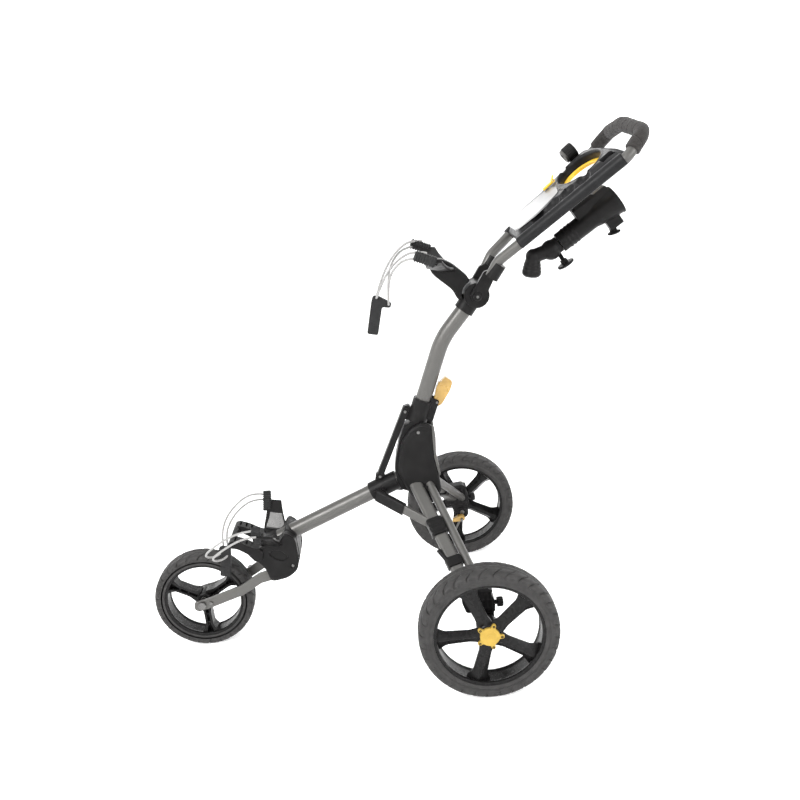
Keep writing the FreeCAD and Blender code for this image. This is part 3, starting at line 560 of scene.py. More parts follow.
def tread_tyre(name, node, body, blocks, steps=720):
    """Rounded foam tyre: ribbed crown, stepped shoulder blocks, raised bead line."""
    c, big, h = wheel_space(node)
    seat = big * SEAT
    side_r = big - 0.0135

    def profile():
        right = [(h * 0.90, seat), (h * 0.975, seat + 0.0045), (h, seat + 0.009), (h, (seat + side_r) / 2)]
        right += [(h * k, side_r + up) for k, up in ((1, 0), (0.985, 0.003), (0.95, 0.0065), (0.88, 0.0095),
                                                     (0.78, 0.0115), (0.66, 0.0126), (0.5, 0.0132))]
        right += [(h * k, big) for k in (0.38, 0.24, 0.20, 0.18, 0.11, 0.09, 0.05)]
        pts = right + [(0.0, big)] + [(-x, r) for x, r in reversed(right)]
        dense = []
        for (x0, r0), (x1, r1) in zip(pts, pts[1:]):
            n = max(1, int(math.hypot(x1 - x0, r1 - r0) / 0.0017))
            dense += [(x0 + (x1 - x0) * i / n, r0 + (r1 - r0) * i / n) for i in range(n)]
        dense.append(pts[-1])
        return dense

    prof = profile()
    bm_ = bmesh.new()
    rows = []
    for i in range(steps):
        a = 2 * math.pi * i / steps
        row = []
        for x, r in prof:
            ax, side = abs(x) / h, (0.0 if x > 0 else 0.5)
            u = (a / (2 * math.pi) * blocks + side) % 1.0
            # stepped lower edge of each shoulder block
            edge = 0.0085 + 0.0045 * (smoothstep((u - 0.1) / 0.12) - smoothstep((u - 0.42) / 0.12)
                                      + 0.55 * (smoothstep((u - 0.55) / 0.1) - smoothstep((u - 0.86) / 0.1)))
            depth = big - r
            on_block = 1.0 - smoothstep((depth - edge - 0.0006) / 0.0016)
            covered = on_block if depth < 0.021 else smoothstep((depth - 0.021) / 0.002)
            sunk = 0.0022 * (1.0 - covered)
            # slanting cuts between blocks on the shoulder
            v = (u + 0.55 * (ax - 0.6)) % 1.0
            gap = math.exp(-((v - 0.5) / 0.035) ** 2) + math.exp(-((v - 0.02) / 0.03) ** 2)
            shoulder = smoothstep((ax - 0.30) / 0.08) * on_block
            groove = 0.0032 * gap * shoulder
            for g in (0.15, 0.34):
                groove = max(groove, 0.0022 * math.exp(-((ax - g) / 0.028) ** 2) if r > big - 0.004 else 0.0)
            nx = smoothstep((ax - 0.55) / 0.45) * (1 if x > 0 else -1)
            nr = math.sqrt(max(0.0, 1 - nx * nx))
            dd = sunk + groove
            if abs(x) < h * 0.9 and r < big - 0.02:
                dd = 0.0
            row.append(c + around(x - nx * dd, r - nr * dd, a))
        rows.append(row)
    ring_grid(bm_, rows)
    return make(name, bm_, "tyre", body, (node,), 50)


def spoke_section(c, a, r, pts, sgn):
    """pts: (x, t) across the spoke at radius r."""
    co, si = math.cos(a), math.sin(a)
    return [c + Vector((sgn * x, r * co - t * si, r * si + t * co)) for x, t in pts]


def rim_band(bm_, c, ro, hw, lip, mid, sgn, steps):
    """Rim band with rolled lips; lip gives each point's depth in from the edge and below the seat."""
    half = [(hw - dx, ro - dr) for dx, dr in lip] + [(0, ro - mid)]
    whole = half + [(-x, r) for x, r in reversed(half[:-1])]
    revolve(bm_, [(sgn * x, r) for x, r in whole], c, steps)


def rear_rim(name, node, tyre, body, sgn, phase):
    """Five deep tapered spokes between the hub drum and the rim band."""
    c, big, h = wheel_space(tyre)
    ro, hw = big * SEAT - 0.0002, h * 0.86
    bm_ = bmesh.new()
    lip = (0, 0), (0, 0.0035), (0.0012, 0.0062), (0.0042, 0.0074), (0.0075, 0.0056), (0.013, 0.005)
    rim_band(bm_, c, ro, hw, lip, 0.0062, sgn, 200)
    # hub drum
    drum = [(-hw * 0.95, 0.0185), (-hw * 0.95, 0.0225), (-hw * 0.85, 0.024), (h * 0.5, 0.026),
            (h * 0.72, 0.0255), (h * 0.785, 0.0235), (h * 0.80, 0.021), (h * 0.80, 0.0092),
            (-hw * 0.9, 0.0092)]
    revolve(bm_, [(sgn * x, r) for x, r in drum], c, 96)
    for k in range(5):
        a = math.radians(phase + 72 * k)
        secs = []
        n = 16
        for i in range(n):
            s = i / (n - 1)
            r = 0.0195 + (ro - 0.0032 - 0.0195) * s
            flare = smoothstep((s - 0.72) / 0.28)
            root = 1 - smoothstep(s / 0.25)
            w = 0.0125 + 0.0035 * s + 0.010 * flare + 0.004 * root
            out = h * (0.78 - 0.14 * s - 0.02 * math.sin(math.pi * s))
            edge = out - 0.0075 - 0.004 * s
            back = -h * 0.10 - h * 0.42 * smoothstep((s - 0.35) / 0.6)
            ridge = 0.0022 + 0.0005 * s
            pts = [(edge, -w), (out - 0.0012, -0.0038 + ridge), (out, ridge - 0.001), (out, ridge + 0.001),
                   (out - 0.0012, 0.0038 + ridge), (edge + 0.001, w), (edge - 0.003, w),
                   (edge - 0.0085, w * 0.72), (back, w * 0.30), (back, -w * 0.30), (edge - 0.0085, -w * 0.72),
                   (edge - 0.003, -w)]
            secs.append(spoke_section(c, a, r, pts, sgn))
        loft(bm_, secs)
    return make(name, bm_, "rim_black", body, (node,), 28)


def front_rim(name, node, tyre, body, phase):
    """Three spokes, each of two ribs with a web and cross ties between them."""
    c, big, h = wheel_space(tyre)
    ro, hw = big * SEAT - 0.0002, h * 0.86
    bm_ = bmesh.new()
    lip = (0, 0), (0, 0.003), (0.001, 0.0056), (0.004, 0.0068), (0.007, 0.005), (0.012, 0.0046)
    rim_band(bm_, c, ro, hw, lip, 0.0058, 1, 180)
    half_drum = [(h * 0.3, 0.019), (h * 0.82, 0.0182), (h * 0.88, 0.0165), (h * 0.88, 0.0092)]
    drum = [(-x, r) for x, r in reversed(half_drum)] + half_drum
    revolve(bm_, drum, c, 96)
    for k in range(3):
        a = math.radians(phase + 120 * k)
        for t0 in (-1, 1):
            secs = []
            n = 16
            for i in range(n):
                s = i / (n - 1)
                r = 0.015 + (ro - 0.003 - 0.015) * s
                flare = smoothstep((s - 0.70) / 0.30)
                root = 1 - smoothstep(s / 0.3)
                mid = t0 * (0.0062 + 0.0085 * flare + 0.003 * root)
                w = 0.0026 + 0.0028 * flare + 0.003 * root
                fh = h * (0.52 + 0.10 * flare)
                pts = [(-fh, mid - w), (-fh - 0.0008, mid), (-fh, mid + w), (fh, mid + w), (fh + 0.0008, mid),
                       (fh, mid - w)]
                secs.append(spoke_section(c, a, r, pts, 1))
            loft(bm_, secs)
        # web between the two ribs, and two cross ties
        for r0, r1, fh in ((0.017, ro - 0.003, h * 0.10), (0.040, 0.0435, h * 0.44),
                           (0.062, 0.066, h * 0.44)):
            secs = []
            for i in range(5):
                s = i / 4
                r = r0 + (r1 - r0) * s
                w = 0.007 + (0.010 * smoothstep((r / ro - 0.7) / 0.3))
                secs.append(spoke_section(c, a, r, [(-fh, -w), (-fh, w), (fh, w), (fh, -w)], 1))
            loft(bm_, secs)
    return make(name, bm_, "rim_black", body, (node,), 30)


SCREW_R = 0.0248


def hub_cap(name, node, tyre, body, sgn, phase):
    """Five-lobed cover with a screw in each lobe; each screw is black, as painted shade for the dark hole in
    its lobe.
    """
    c = wheel_space(tyre)[0]
    nlo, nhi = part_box(node)
    x_in = (nlo.x if sgn > 0 else nhi.x) - c.x
    x_out = (nhi.x if sgn > 0 else nlo.x) - c.x
    depth = x_out - x_in
    bm_ = bmesh.new()

    def outline(shrink):
        pts = []
        for i in range(200):
            a = 2 * math.pi * i / 200
            d = abs(((math.degrees(a) - phase + 36) % 72) - 36)
            lobe = math.exp(-(d / 11.0) ** 4)
            pts.append((0.0205 + 0.0092 * lobe - shrink, a))
        return pts

    def ring_at(f, points):
        return [c + around(x_in + depth * f, r, a) for r, a in points]

    rim = (0.02, 0.0), (0.55, 0.0), (0.72, 0.0005), (0.80, 0.0016)
    boss = (0.82, 0.0135), (0.93, 0.0125), (0.97, 0.010), (0.97, 0.0055), (0.86, 0.0045), (0.84, 0.001)
    rows = [ring_at(f, outline(shrink)) for f, shrink in rim]
    for f, r in boss:
        rows.append(ring_at(f, [(r, a) for _, a in outline(0)]))
    loft(bm_, rows)
    cap = make(name, bm_, "gold", body, (node,), 32)
    sb = bmesh.new()
    for k in range(5):
        a = math.radians(phase + 72 * k)
        p = c + around(0, SCREW_R, a)
        x0, x1 = x_in + depth * 0.55, x_in + depth * 0.92
        prof = [(x0, 0.0001), (x0, 0.0026), (x1 - 0.0003 * sgn, 0.0026), (x1, 0.0022), (x1, 0.0012),
                (x1 - 0.0009 * sgn, 0.0011), (x1 - 0.0009 * sgn, 0.0001)]
        revolve(sb, prof, p, 20)
    # screw heads are real shapes, but their black plastic is painted shade standing in for the holes in the
    # lobes
    make(name + "_screws", sb, "black_plastic", body, (), 30)
    return cap


tread_tyre("tread_left", "rear_tyre_left", "rear_wheel_left", 16)
tread_tyre("tread_right", "rear_tyre_right", "rear_wheel_right", 16)
tread_tyre("tread_front", "front_tyre", "front_wheel", 13)
rear_rim("spokes_left", "rear_rim_left", "rear_tyre_left", "rear_wheel_left", -1, 70.0)
rear_rim("spokes_right", "rear_rim_right", "rear_tyre_right", "rear_wheel_right", 1, 64.0)
front_rim("spokes_front", "front_rim", "front_tyre", "front_wheel", 30.0)
hub_cap("cap_left", "hub_cap_left", "rear_tyre_left", "rear_wheel_left", -1, 41.0)
hub_cap("cap_right", "hub_cap_right", "rear_tyre_right", "rear_wheel_right", 1, 35.0)
# the part's two sides, each with the sign of its X
SIDES = ("left", -1), ("right", 1)


# ---- hub shells
def V(x, y, z):
    return Vector((x, y, z))


def on_side(sgn, p):
    """A point given for one side, mirrored in X when sgn is -1."""
    return Vector((sgn * p.x, p.y, p.z))


HUB = [(113.5, 497.7), (86.0, 509.6), (63.4, 500.2), (65.6, 464.2), (65.9, 422.1), (59.5, 378.7),
       (56.6, 341.1), (79.6, 308.9), (128.4, 332.3), (143.4, 368.8), (153.7, 395.7), (149.2, 423.6),
       (137.9, 467.1)]
HUB_TRIM = [(60.0, 498), (58.5, 470), (61.5, 430), (55.5, 380), (60.0, 379), (66.5, 422), (66.5, 464),
            (65.0, 500)]
HUB_IN, HUB_OUT = 20.6, 34.5
HUB_SCREWS = [(97.0, 488.0), (72.0, 342.0), (118.0, 352.0)]


def inset(pts, k):
    cy = sum(p[0] for p in pts) / len(pts)
    cz = sum(p[1] for p in pts) / len(pts)
    return [(cy + (y - cy) * k, cz + (z - cz) * k) for y, z in pts]


def hub_shell(tag, sgn):
    s = Solid().plate(HUB, sgn * HUB_IN, sgn * (HUB_OUT - 3.5), 9.0)
    s.plate(inset(HUB, 0.95), sgn * HUB_IN, sgn * (HUB_OUT - 1.0), 9.0)
    s.plate(inset(HUB, 0.86), sgn * HUB_IN, sgn * HUB_OUT, 9.0)
    wells = Solid()
    for y, z in HUB_SCREWS:
        wells.cone(V(sgn * (HUB_OUT - 1.6), y, z), V(sgn * (HUB_OUT + 4), y, z), 4.6, 5.2, 32)
    fused("hub_cover_" + tag, s, "black_plastic", "frame", ("hub_shell_" + tag,), 0.001, 10, wells)
    trim = Solid().plate(HUB_TRIM, sgn * 22.0, sgn * 33.5, 2.0)
    fused("hub_trim_" + tag, trim, "frame_grey", "frame", (), 0.0008, 3)


for tag, sgn in SIDES:
    hub_shell(tag, sgn)


# ---- latch lever
LEVER = [(22.5, 605), (6.5, 591), (14, 572), (36, 541), (47, 536), (56, 545), (51, 562), (44, 585)]
MAST_FOOT, MAST_BEND = V(0, 128.0, 432.0), V(0, 21.0, 691.0)
mast_run = MAST_FOOT + (MAST_BEND - MAST_FOOT) * 0.15, MAST_FOOT + (MAST_BEND - MAST_FOOT) * 0.92
lever = Solid().plate(LEVER, -9.0, 9.0, 6.0)
for k in range(5):
    y, z = 20.5 + 4.6 * k, 601.5 - 2.0 * k
    lever.beam(V(-6.5, y, z - 2), V(6.5, y, z - 2), 3.2, 3.2, V(0, 1, 0), None, 1.2)
lever_cut = Solid().cone(mast_run[0], mast_run[1], 19.4, 19.4)
fused("latch_handle", lever, "amber", "latch", ("latch_lever",), 0.0007, 5, lever_cut)


# ---- lower bracket with cradle arms
LOWER = [(431.4, 288), (409, 268), (407, 213.5), (413.7, 188.3), (438.3, 170.8), (479.5, 164.7),
         (489.1, 201.2), (505.9, 223.5), (512, 240), (496, 256), (470, 262), (446, 264)]
LOWER_X = 33.0


def arm_sections(sgn, foot, tip, sag, extra=0.0, n=11):
    """Curved cradle wing: broad at the bracket, narrower and turned up at its tip."""
    rows = []
    for i in range(n):
        t = i / (n - 1)
        x = foot.x + (tip.x - foot.x) * t
        y = foot.y + (tip.y - foot.y) * t
        z = foot.z + (tip.z - foot.z) * t - sag * math.sin(math.pi * t)
        half = 23.0 + extra + (13.0 - 23.0) * smoothstep(t)
        slope = math.atan2(tip.z - foot.z - sag * math.pi * math.cos(math.pi * t), abs(tip.x - foot.x))
        nx, nz = -math.sin(slope), math.cos(slope)
        lean = 6.0 - 2.0 * t
        thick = 4.2 - 0.8 * t
        flat = []
        for u, w in ((-1.0, -1), (0.0, -1), (1.0, -1), (1.04, 0), (1.0, 1), (0.0, 1), (-1.0, 1), (-1.04, 0)):
            bow = 2.2 * (1 - u * u)
            h = w * thick - bow
            flat.append((sgn * (x + nx * h), y + half * u, z + nz * h + lean * u))
        rows.append(flat)
    return rows


def ribbed_pad(sgn, foot, tip, width, depth, side, ribs):
    """Rubber pad with cross ribs on the face that meets the bag."""
    a, b = on_side(sgn, foot), on_side(sgn, tip)
    s = Solid().beam(a, b, width, depth, side, (width * 0.92, depth * 0.9), 3.0)
    run = b - a
    for k in range(ribs):
        c = a + run * ((k + 0.7) / (ribs + 0.4))
        d = run.normalized() * 1.2
        s.beam(c - d, c + d, width + 1.6, depth + 1.8, side, None, 1.6)
    return s


def lower_half(tag, sgn):
    s = Solid().plate(LOWER, 0.0, sgn * (LOWER_X - 4.0), 10.0)
    s.plate(inset(LOWER, 0.94), 0.0, sgn * (LOWER_X - 1.2), 10.0)
    s.plate(inset(LOWER, 0.82), 0.0, sgn * LOWER_X, 9.0)
    s.sections(arm_sections(sgn, V(30, 466, 252), V(107, 470, 307), 5.0, 4.0))
    # prong beside the foot gap
    prong = [(490, 226), (508, 224), (524, 247), (546, 262), (562, 265), (567, 275), (554, 283), (530, 273),
             (505, 257), (486, 252)]
    s.plate(prong, sgn * 26.0, sgn * 60.0, 7.0)
    s.cone(V(0, 557, 274), V(sgn * 58, 557, 274), 7.6, 7.6)
    s.ball(V(sgn * 57, 557, 274), 7.4)
    cuts = Solid()
    cuts.plate([(430, 226), (446, 244), (468, 246), (476, 236), (462, 222), (442, 214)],
               sgn * 49.6, sgn * 57.0, 8.0)
    # outer cheek that hides the fork's pivot, held off by a spacer above it
    s.plate(LOWER, sgn * 48.2, sgn * 52.0, 12.0)
    s.plate(inset(LOWER, 0.93), sgn * 48.2, sgn * 53.6, 12.0)
    spacer = [(431.4, 286), (410, 268), (409, 214), (500, 216), (510, 240), (496, 254), (470, 260),
              (446, 262)]
    s.plate(spacer, sgn * 30.0, sgn * 49.5, 9.0)
    for k in range(4):
        y, z = 508 + 12.5 * k, 262 + 5.5 * k
        cuts.beam(V(sgn * 33, y, z + 9), V(sgn * 54, y, z + 9), 4.0, 24.0, V(0, 1, 0.4), None, 1.4)
    cuts.cone(V(sgn * 50.0, 424, 200), V(sgn * 57, 424, 200), 4.4, 4.8, 32)
    fused("lower_bracket_" + tag, s, "black_plastic", "frame", ("lower_shell_" + tag,), 0.001, 5, cuts)


def arm_face(tag, sgn):
    """Pale inner lining on a lower cradle wing."""
    rows = []
    for row in arm_sections(sgn, V(36, 464, 261), V(72, 465, 286), 2.5, 3.0):
        mid = sum((V(*p) for p in row), V(0, 0, 0)) / len(row)
        rows.append([tuple(mid + (V(*p) - mid) * 0.86) for p in row])
    fused("cradle_lining_" + tag, Solid().sections(rows), "panel_grey", "frame", (), 0.0008, 4)


for tag, sgn in SIDES:
    lower_half(tag, sgn)
    arm_face(tag, sgn)
    low = ribbed_pad(sgn, V(88, 488, 288), V(112, 485, 331), 19.0, 12.0, V(0, 1, 0), 9)
    fused("lower_pad_" + tag, low, "rubber", "frame", ("rubber_pads",), 0.0007, 3)


# ---- upper bracket
NECK = [(-58, 796), (-48, 826), (-18, 856), (4, 870), (30, 872), (34, 850), (26, 836), (3, 814),
        (-12, 800), (-22, 776), (-40, 770)]
TILT = V(0, -62.0, 786.0)


def upper_bracket():
    s = Solid().plate(NECK, -13.0, 13.0, 9.0).plate(inset(NECK, 0.9), -16.0, 16.0, 8.0)
    for sgn in (-1, 1):
        s.sections(arm_sections(sgn, V(10, 8, 850), V(114, 30, 884), 6.0, 6.0))
        s.beam(V(sgn * 104, 20, 873), V(sgn * 104, 62, 892), 14.0, 7.0, radius=2.0)
    room = Solid().cone(TILT + V(-60, 0, 0), TILT + V(60, 0, 0), 30.5, 30.5, 64)
    fused("upper_cradle", s, "black_plastic", "frame", ("upper_bracket",), 0.001, 5, room)
    for tag, sgn in SIDES:
        pad = ribbed_pad(sgn, V(111, 24, 878), V(111, 66, 897), 16.5, 21.0, V(1, 0, 0), 8)
        fused("upper_pad_" + tag, pad, "rubber", "frame", (), 0.0007, 3)


upper_bracket()


# ---- tilt joint covers and screws
def tilt_cover(tag, sgn):
    """Finely serrated disc beside the clevis, and a domed cap over the bolt."""
    disc = Solid().turned(TILT + V(sgn * 30.4, 0, 0), V(sgn, 0, 0),
                          [(0, 8), (0, 26.6), (1.2, 27.6), (6.4, 27.6), (7.7, 26.2), (7.7, 8)], 240, 0.35, 60)
    make("tilt_plate_" + tag, disc.bm, "black_plastic", "handle", ("tilt_discs",), 30)
    cap = Solid().turned(TILT + V(sgn * 50.2, 0, 0), V(sgn, 0, 0),
                         [(0, 0.05), (0, 9.4), (2.6, 9.4), (4.2, 8.2), (4.6, 5.0), (3.4, 4.2),
                          (3.4, 0.05)], 96)
    make("tilt_cap_" + tag, cap.bm, "black_plastic", "handle", ("tilt_bolt",), 30)
    core = Solid().turned(TILT + V(sgn * 53.5, 0, 0), V(sgn, 0, 0),
                          [(0, 0.05), (0, 3.6), (0.8, 3.2), (0.8, 1.8), (0.3, 1.6), (0.3, 0.05)], 6)
    make("tilt_key_" + tag, core.bm, "steel", "handle", (), 30)


def small_screw(name, spot, axis, radius, body):
    s = Solid().turned(spot, axis, [(0, 0.05), (0, radius), (1.2, radius), (1.9, radius * 0.72),
                                    (1.9, radius * 0.4), (1.1, radius * 0.34), (1.1, 0.05)], 36)
    make(name, s.bm, "steel", body, (), 30)


for tag, sgn in SIDES:
    tilt_cover(tag, sgn)
    small_screw("cheek_screw_" + tag, V(sgn * 50.6, 424, 200), V(sgn, 0, 0), 3.6, "frame")


# ---- axle blocks, clamps, strut sockets
LEG_FRONT = V(-30, 116.0, 362.5), V(-284, 19.5, 178.5)
LEG_REAR = V(-30, 84.0, 360.0), V(-284, -9.0, 176.5)
LEG_DIR = (LEG_FRONT[1] - LEG_FRONT[0]).normalized()
LEG_FACE = (LEG_REAR[0] - LEG_FRONT[0]).cross(LEG_DIR)


def on_leg(x):
    return LEG_FRONT[0] + LEG_DIR * ((x - LEG_FRONT[0].x) / LEG_DIR.x)


BLOCK_X = 281.5
BLOCK_SIDE = [(-10, 224), (44, 220), (48, 196), (40, 170), (-20, 166), (-22, 190)]
BLOCK_FOOT = [(-18, 180), (26, 180), (16, 134), (8, 128), (-10, 128), (-17, 136)]


def axle_block(tag, sgn):
    s = Solid().plate(BLOCK_SIDE, sgn * 266.0, sgn * 297.0, 6.0)
    s.plate(BLOCK_FOOT, sgn * 268.0, sgn * 295.0, 8.0)
    for k in range(6):
        y = -14 + 10.8 * k
        s.beam(V(sgn * BLOCK_X, y, 219), V(sgn * BLOCK_X, y * 0.9, 171), 33.5, 4.2, radius=1.4)
    for z in (176, 196, 216):
        s.beam(V(sgn * BLOCK_X, -18, z), V(sgn * BLOCK_X, 42, z), 33.8, 4.0, radius=1.4)
    s.cone(V(sgn * 262.0, 0, 146), V(sgn * 300.0, 0, 146), 13.5, 13.5)
    cuts = Solid().cone(V(sgn * 258, 0, 146), V(sgn * 304, 0, 146), 6.3, 6.3, 32)
    if sgn < 0:
        cuts.beam(V(-BLOCK_X, 44, 208), V(-BLOCK_X, 58, 208), 18.0, 9.0, radius=2.0)
    fused("axle_housing_" + tag, s, "black_plastic", "frame", ("axle_block_" + tag,), 0.0009, 4, cuts)


def leg_clamps(sgn):
    """Ribbed clamp and two brace sockets; LEG_FRONT and on_leg give the left side."""
    s, face = Solid(), on_side(-sgn, LEG_FACE)

    def bar(p, q, width, height, side=face, radius=7.0):
        s.beam(on_side(-sgn, p), on_side(-sgn, q), width, height, side, None, radius)

    a, b = on_leg(-110), on_leg(-143)
    bar(a, b, 25.0, 37.0)
    for k in (0.15, 0.5, 0.85):
        q = a + (b - a) * k
        bar(q, q + LEG_DIR * 3.0, 27.0, 39.0)
    bar(on_leg(-190), on_leg(-208), 22.0, 36.0, radius=6.0)
    bar(on_leg(-178) + V(0, 21, 7), on_leg(-200) + V(0, 10, 2), 20.0, 8.0, V(1, 0, 0), 3.0)
    return s


BUTTON = [(0, 4.2), (20.5, 4.2), (21, 9), (22.5, 9.9), (32, 9.9), (34.2, 8.4), (35, 5), (35, 0.05)]
for tag, sgn in SIDES:
    axle_block(tag, sgn)
    fused("leg_clamps_" + tag, leg_clamps(sgn), "black_plastic", "frame", ("leg_braces",), 0.0009, 5)
    knob = Solid().turned(V(sgn * BLOCK_X, -5, 181), V(0, -1, 0), BUTTON, 96, 0.55, 12)
    make("release_button_" + tag, knob.bm, "black_plastic", "frame", ("release_knobs",), 35)
    collar = Solid().turned(V(sgn * BLOCK_X, -27, 181), V(0, -1, 0),
                            [(0, 4.4), (0, 7.4), (2.2, 7.8), (3.6, 7.4), (3.6, 4.4)])
    make("release_ring_" + tag, collar.bm, "yellow", "frame", (), 35)


# ---- pedal of the parking brake
def pedal():
    tread = [(-6, 138), (2, 145), (12, 142), (28, 135), (29, 128), (10, 128), (-4, 129)]
    s = Solid().plate(tread, 246.0, 259.0, 4.0)
    for k in range(3):
        y = 14 + 5.2 * k
        s.beam(V(247.0, y, 142.0 - 2.3 * k), V(258.0, y, 142.0 - 2.3 * k), 2.0, 2.0, V(0, 1, 0), None, 0.8)
    fused("brake_lever", s, "amber", "brake", ("brake_pedal",), 0.0006, 3)
    wire = Solid()
    for x in (248.0, 257.0):
        wire.cone(V(x, 6, 132), V(x, 22, 104), 1.6, 1.6, 24)
    wire.cone(V(247.0, 22, 104), V(258.0, 22, 104), 1.6, 1.6, 24)
    fused("brake_wire", wire, "frame_grey", "brake", (), 0.0005, 2)


pedal()


# ---- tray frame of reference
TRAY_SLOPE = math.radians(36.4)
UP_SLOPE = V(0, -math.cos(TRAY_SLOPE), math.sin(TRAY_SLOPE))
NORMAL = V(0, math.sin(TRAY_SLOPE), math.cos(TRAY_SLOPE))
TRAY_ORIGIN = V(0, -130.0, 873.8)


def tray(x, s, n):
    return TRAY_ORIGIN + V(x, 0, 0) + UP_SLOPE * s + NORMAL * n


def tray_outline(n, shrink, radius=14.0):
    right = [(68 - shrink, 34 + shrink * 0.7), (86 - shrink, 48), (124 - shrink, 160), (158 - shrink, 268),
             (150 - shrink, 300 - shrink * 0.6), (70 - shrink * 0.3, 306 - shrink * 0.6)]
    pts = right + [(-x, s) for x, s in reversed(right)]
    return [tray(p[0], p[1], n) for p in rounded(pts, radius)]


RING_A, RING_B, RING_S = 104.0, 50.0, 232.0


def on_ring(t, grow, n):
    """A point at angle t on the cup opening's oval, grown by a margin."""
    return tray((RING_A + grow) * math.cos(t), RING_S + (RING_B + grow) * math.sin(t), n)


def oval_ring(grow, n, steps=96):
    return [on_ring(2 * math.pi * k / steps, grow, n) for k in range(steps)]


def side_rails(solid, radius):
    for sgn in (-1, 1):
        solid.cone(tray(sgn * 82.5, 32, 0), tray(sgn * 155.5, 287, 0), radius, radius)


def pocket(x, s, half_x, half_s, n0, n1):
    """Corners of a box-like cut in the tray's own directions."""
    return [[tray(x + dx * half_x, s + ds * half_s, n) for dx, ds in ((-1, -1), (1, -1), (1, 1), (-1, 1))]
            for n in (n0, n1)]


CARD = rounded([(-60, 44), (60, 44), (84, 100), (70, 160), (0, 172), (-70, 160), (-84, 100)], 16.0)
CARD_S = 108.0


def card_ring(n, k):
    """The card window's outline at height n, scaled by k about its middle."""
    return [tray(p[0] * k, CARD_S + (p[1] - CARD_S) * k, n) for p in CARD]


TEES = [(-52, 168), (-68, 168), (-84, 172), (-44, 152), (-36, 140)]
BALL_R, BALL_S, BALL_PITCH = 19.5, 96.0, 37.5


def console():
    """Tray deck on its two rails, with cup opening, ball cups, tee holes, slot and card recess."""
    s = Solid()
    s.sections([tray_outline(n, k) for n, k in ((-4, 3.5), (-2.5, 2), (6, 1.4), (10, 5), (16, 17), (20.5, 27),
                                                (22.4, 33), (22.6, 40))])
    s.sections([oval_ring(7, n) for n in (-3, 24)])
    side_rails(s, 14.5)
    cuts = Solid()
    cuts.sections([oval_ring(k, n) for n, k in ((-40, 0), (18, 0), (22, 1.5), (26, 5), (40, 6))])
    for k in range(4):
        sb = BALL_S + BALL_PITCH * k
        x = 62 + (sb - 22) * 0.297
        cuts.ball(tray(x, sb, 27), BALL_R)
        cuts.ball(tray(-x, sb, 27), BALL_R)
    for x, st in TEES:
        cuts.cone(tray(x, st, 15), tray(x, st, 30), 2.8, 3.0, 24)
    cuts.beam(tray(-118, 255, 20), tray(-118, 285, 20), 26.0, 25.0, radius=4.0)
    cuts.sections([card_ring(20.8, 1.0), card_ring(28, 1.02)])
    # underside left open between a pair of long ribs
    for x in (-46, 46):
        cuts.sections(pocket(x, 110, 36, 52, -12, 5))
    cuts.sections(pocket(0, 150, 240, 240, -60, -10))
    fused("tray_deck", s, "deck_plastic", "handle", ("console_tray",), 0.0013, 4, cuts, 40)


console()

# cup ring: two bright arcs on the wall with a dark carrier between them
ring = Solid()
for a0, a1 in ((-78, 78), (102, 258)):
    rows = []
    for k in range(41):
        t = math.radians(a0 + (a1 - a0) * k / 40)
        row = []
        for da, n in ((0, -5.6), (0, 3.6), (-1.2, 4.4), (-8.5, 4.4), (-9.6, 3.4), (-9.6, 1.4), (-3.2, 0.8),
                      (-3.2, -5.6)):
            row.append(on_ring(t, da, n))
        rows.append(row)
    ring.sections(rows)
fused("cup_band", ring, "yellow", "handle", ("cup_ring",), 0.0009, 3)
carrier = Solid()
for t0 in (90, 270):
    rows = []
    for k in range(13):
        t = math.radians(t0 - 15 + 30 * k / 12)
        rows.append([on_ring(t, da, n) for da, n in ((1, -5.5), (1, 1.5), (-14, 1.0), (-14, -5.5))])
    carrier.sections(rows)
fused("cup_carrier", carrier, "black_plastic", "handle", (), 0.0009, 3)

# score card window with a raised border
card = Solid()
card.sections([card_ring(n, k) for n, k in ((20.9, 0.995), (23.4, 0.995), (24.2, 0.985), (24.0, 0.955),
                                            (23.2, 0.945))])
make("card_window", card.bm, "clear", "handle", ("scorecard_panel",), 30)

clip = Solid()
clip.beam(tray(58, 152, 27.4), tray(58, 178, 27.4), 13, 5, radius=2.0)
clip.cone(tray(50.5, 180, 28.8), tray(65.5, 180, 28.8), 4.0, 4.0, 32)
clip.beam(tray(58, 178, 31.0), tray(58, 188, 38.0), 11, 3, radius=1.2)
for k in range(4):
    st = 156 + 4.2 * k
    clip.beam(tray(53, st, 30), tray(63, st, 30), 1.8, 1.8, UP_SLOPE, None, 0.8)
clip_cut = Solid().cone(tray(40, 180, 28.8), tray(76, 180, 28.8), 1.7, 1.7, 24)
fused("card_clip", clip, "yellow", "clip", ("scorecard_clip",), 0.0005, 3, clip_cut)

DRUM_R, DRUM_X, DRUM_S, DRUM_N = 17.5, 142.0, 256.0, 37.0
drum = Solid().turned(tray(DRUM_X, DRUM_S + 16, DRUM_N), UP_SLOPE * -1,
                      [(0, 0.05), (0, 12), (0.8, 15.8), (3, DRUM_R), (24, DRUM_R), (26, DRUM_R - 0.6),
                       (26, 0.05)], 120, 0.4, 24)
make("side_dial", drum.bm, "black_plastic", "handle", ("accessory_drum",), 30)
face = Solid().turned(tray(DRUM_X, DRUM_S - 10, DRUM_N), UP_SLOPE * -1,
                      [(0, DRUM_R - 1.5), (4.5, DRUM_R - 1.2), (6, DRUM_R - 3.4), (6, DRUM_R - 6.4),
                       (3, DRUM_R - 7.4), (3, 0.05), (0, 0.05)], 96)
make("side_dial_ring", face.bm, "frame_grey", "handle", (), 30)
stalk = Solid().beam(tray(DRUM_X, DRUM_S, 13), tray(DRUM_X, DRUM_S, DRUM_N - 8), 16.0, 20.0, V(1, 0, 0),
                     (12.0, 22.0), 3.0)
fused("side_dial_mount", stalk, "black_plastic", "handle", (), 0.0008, 5)


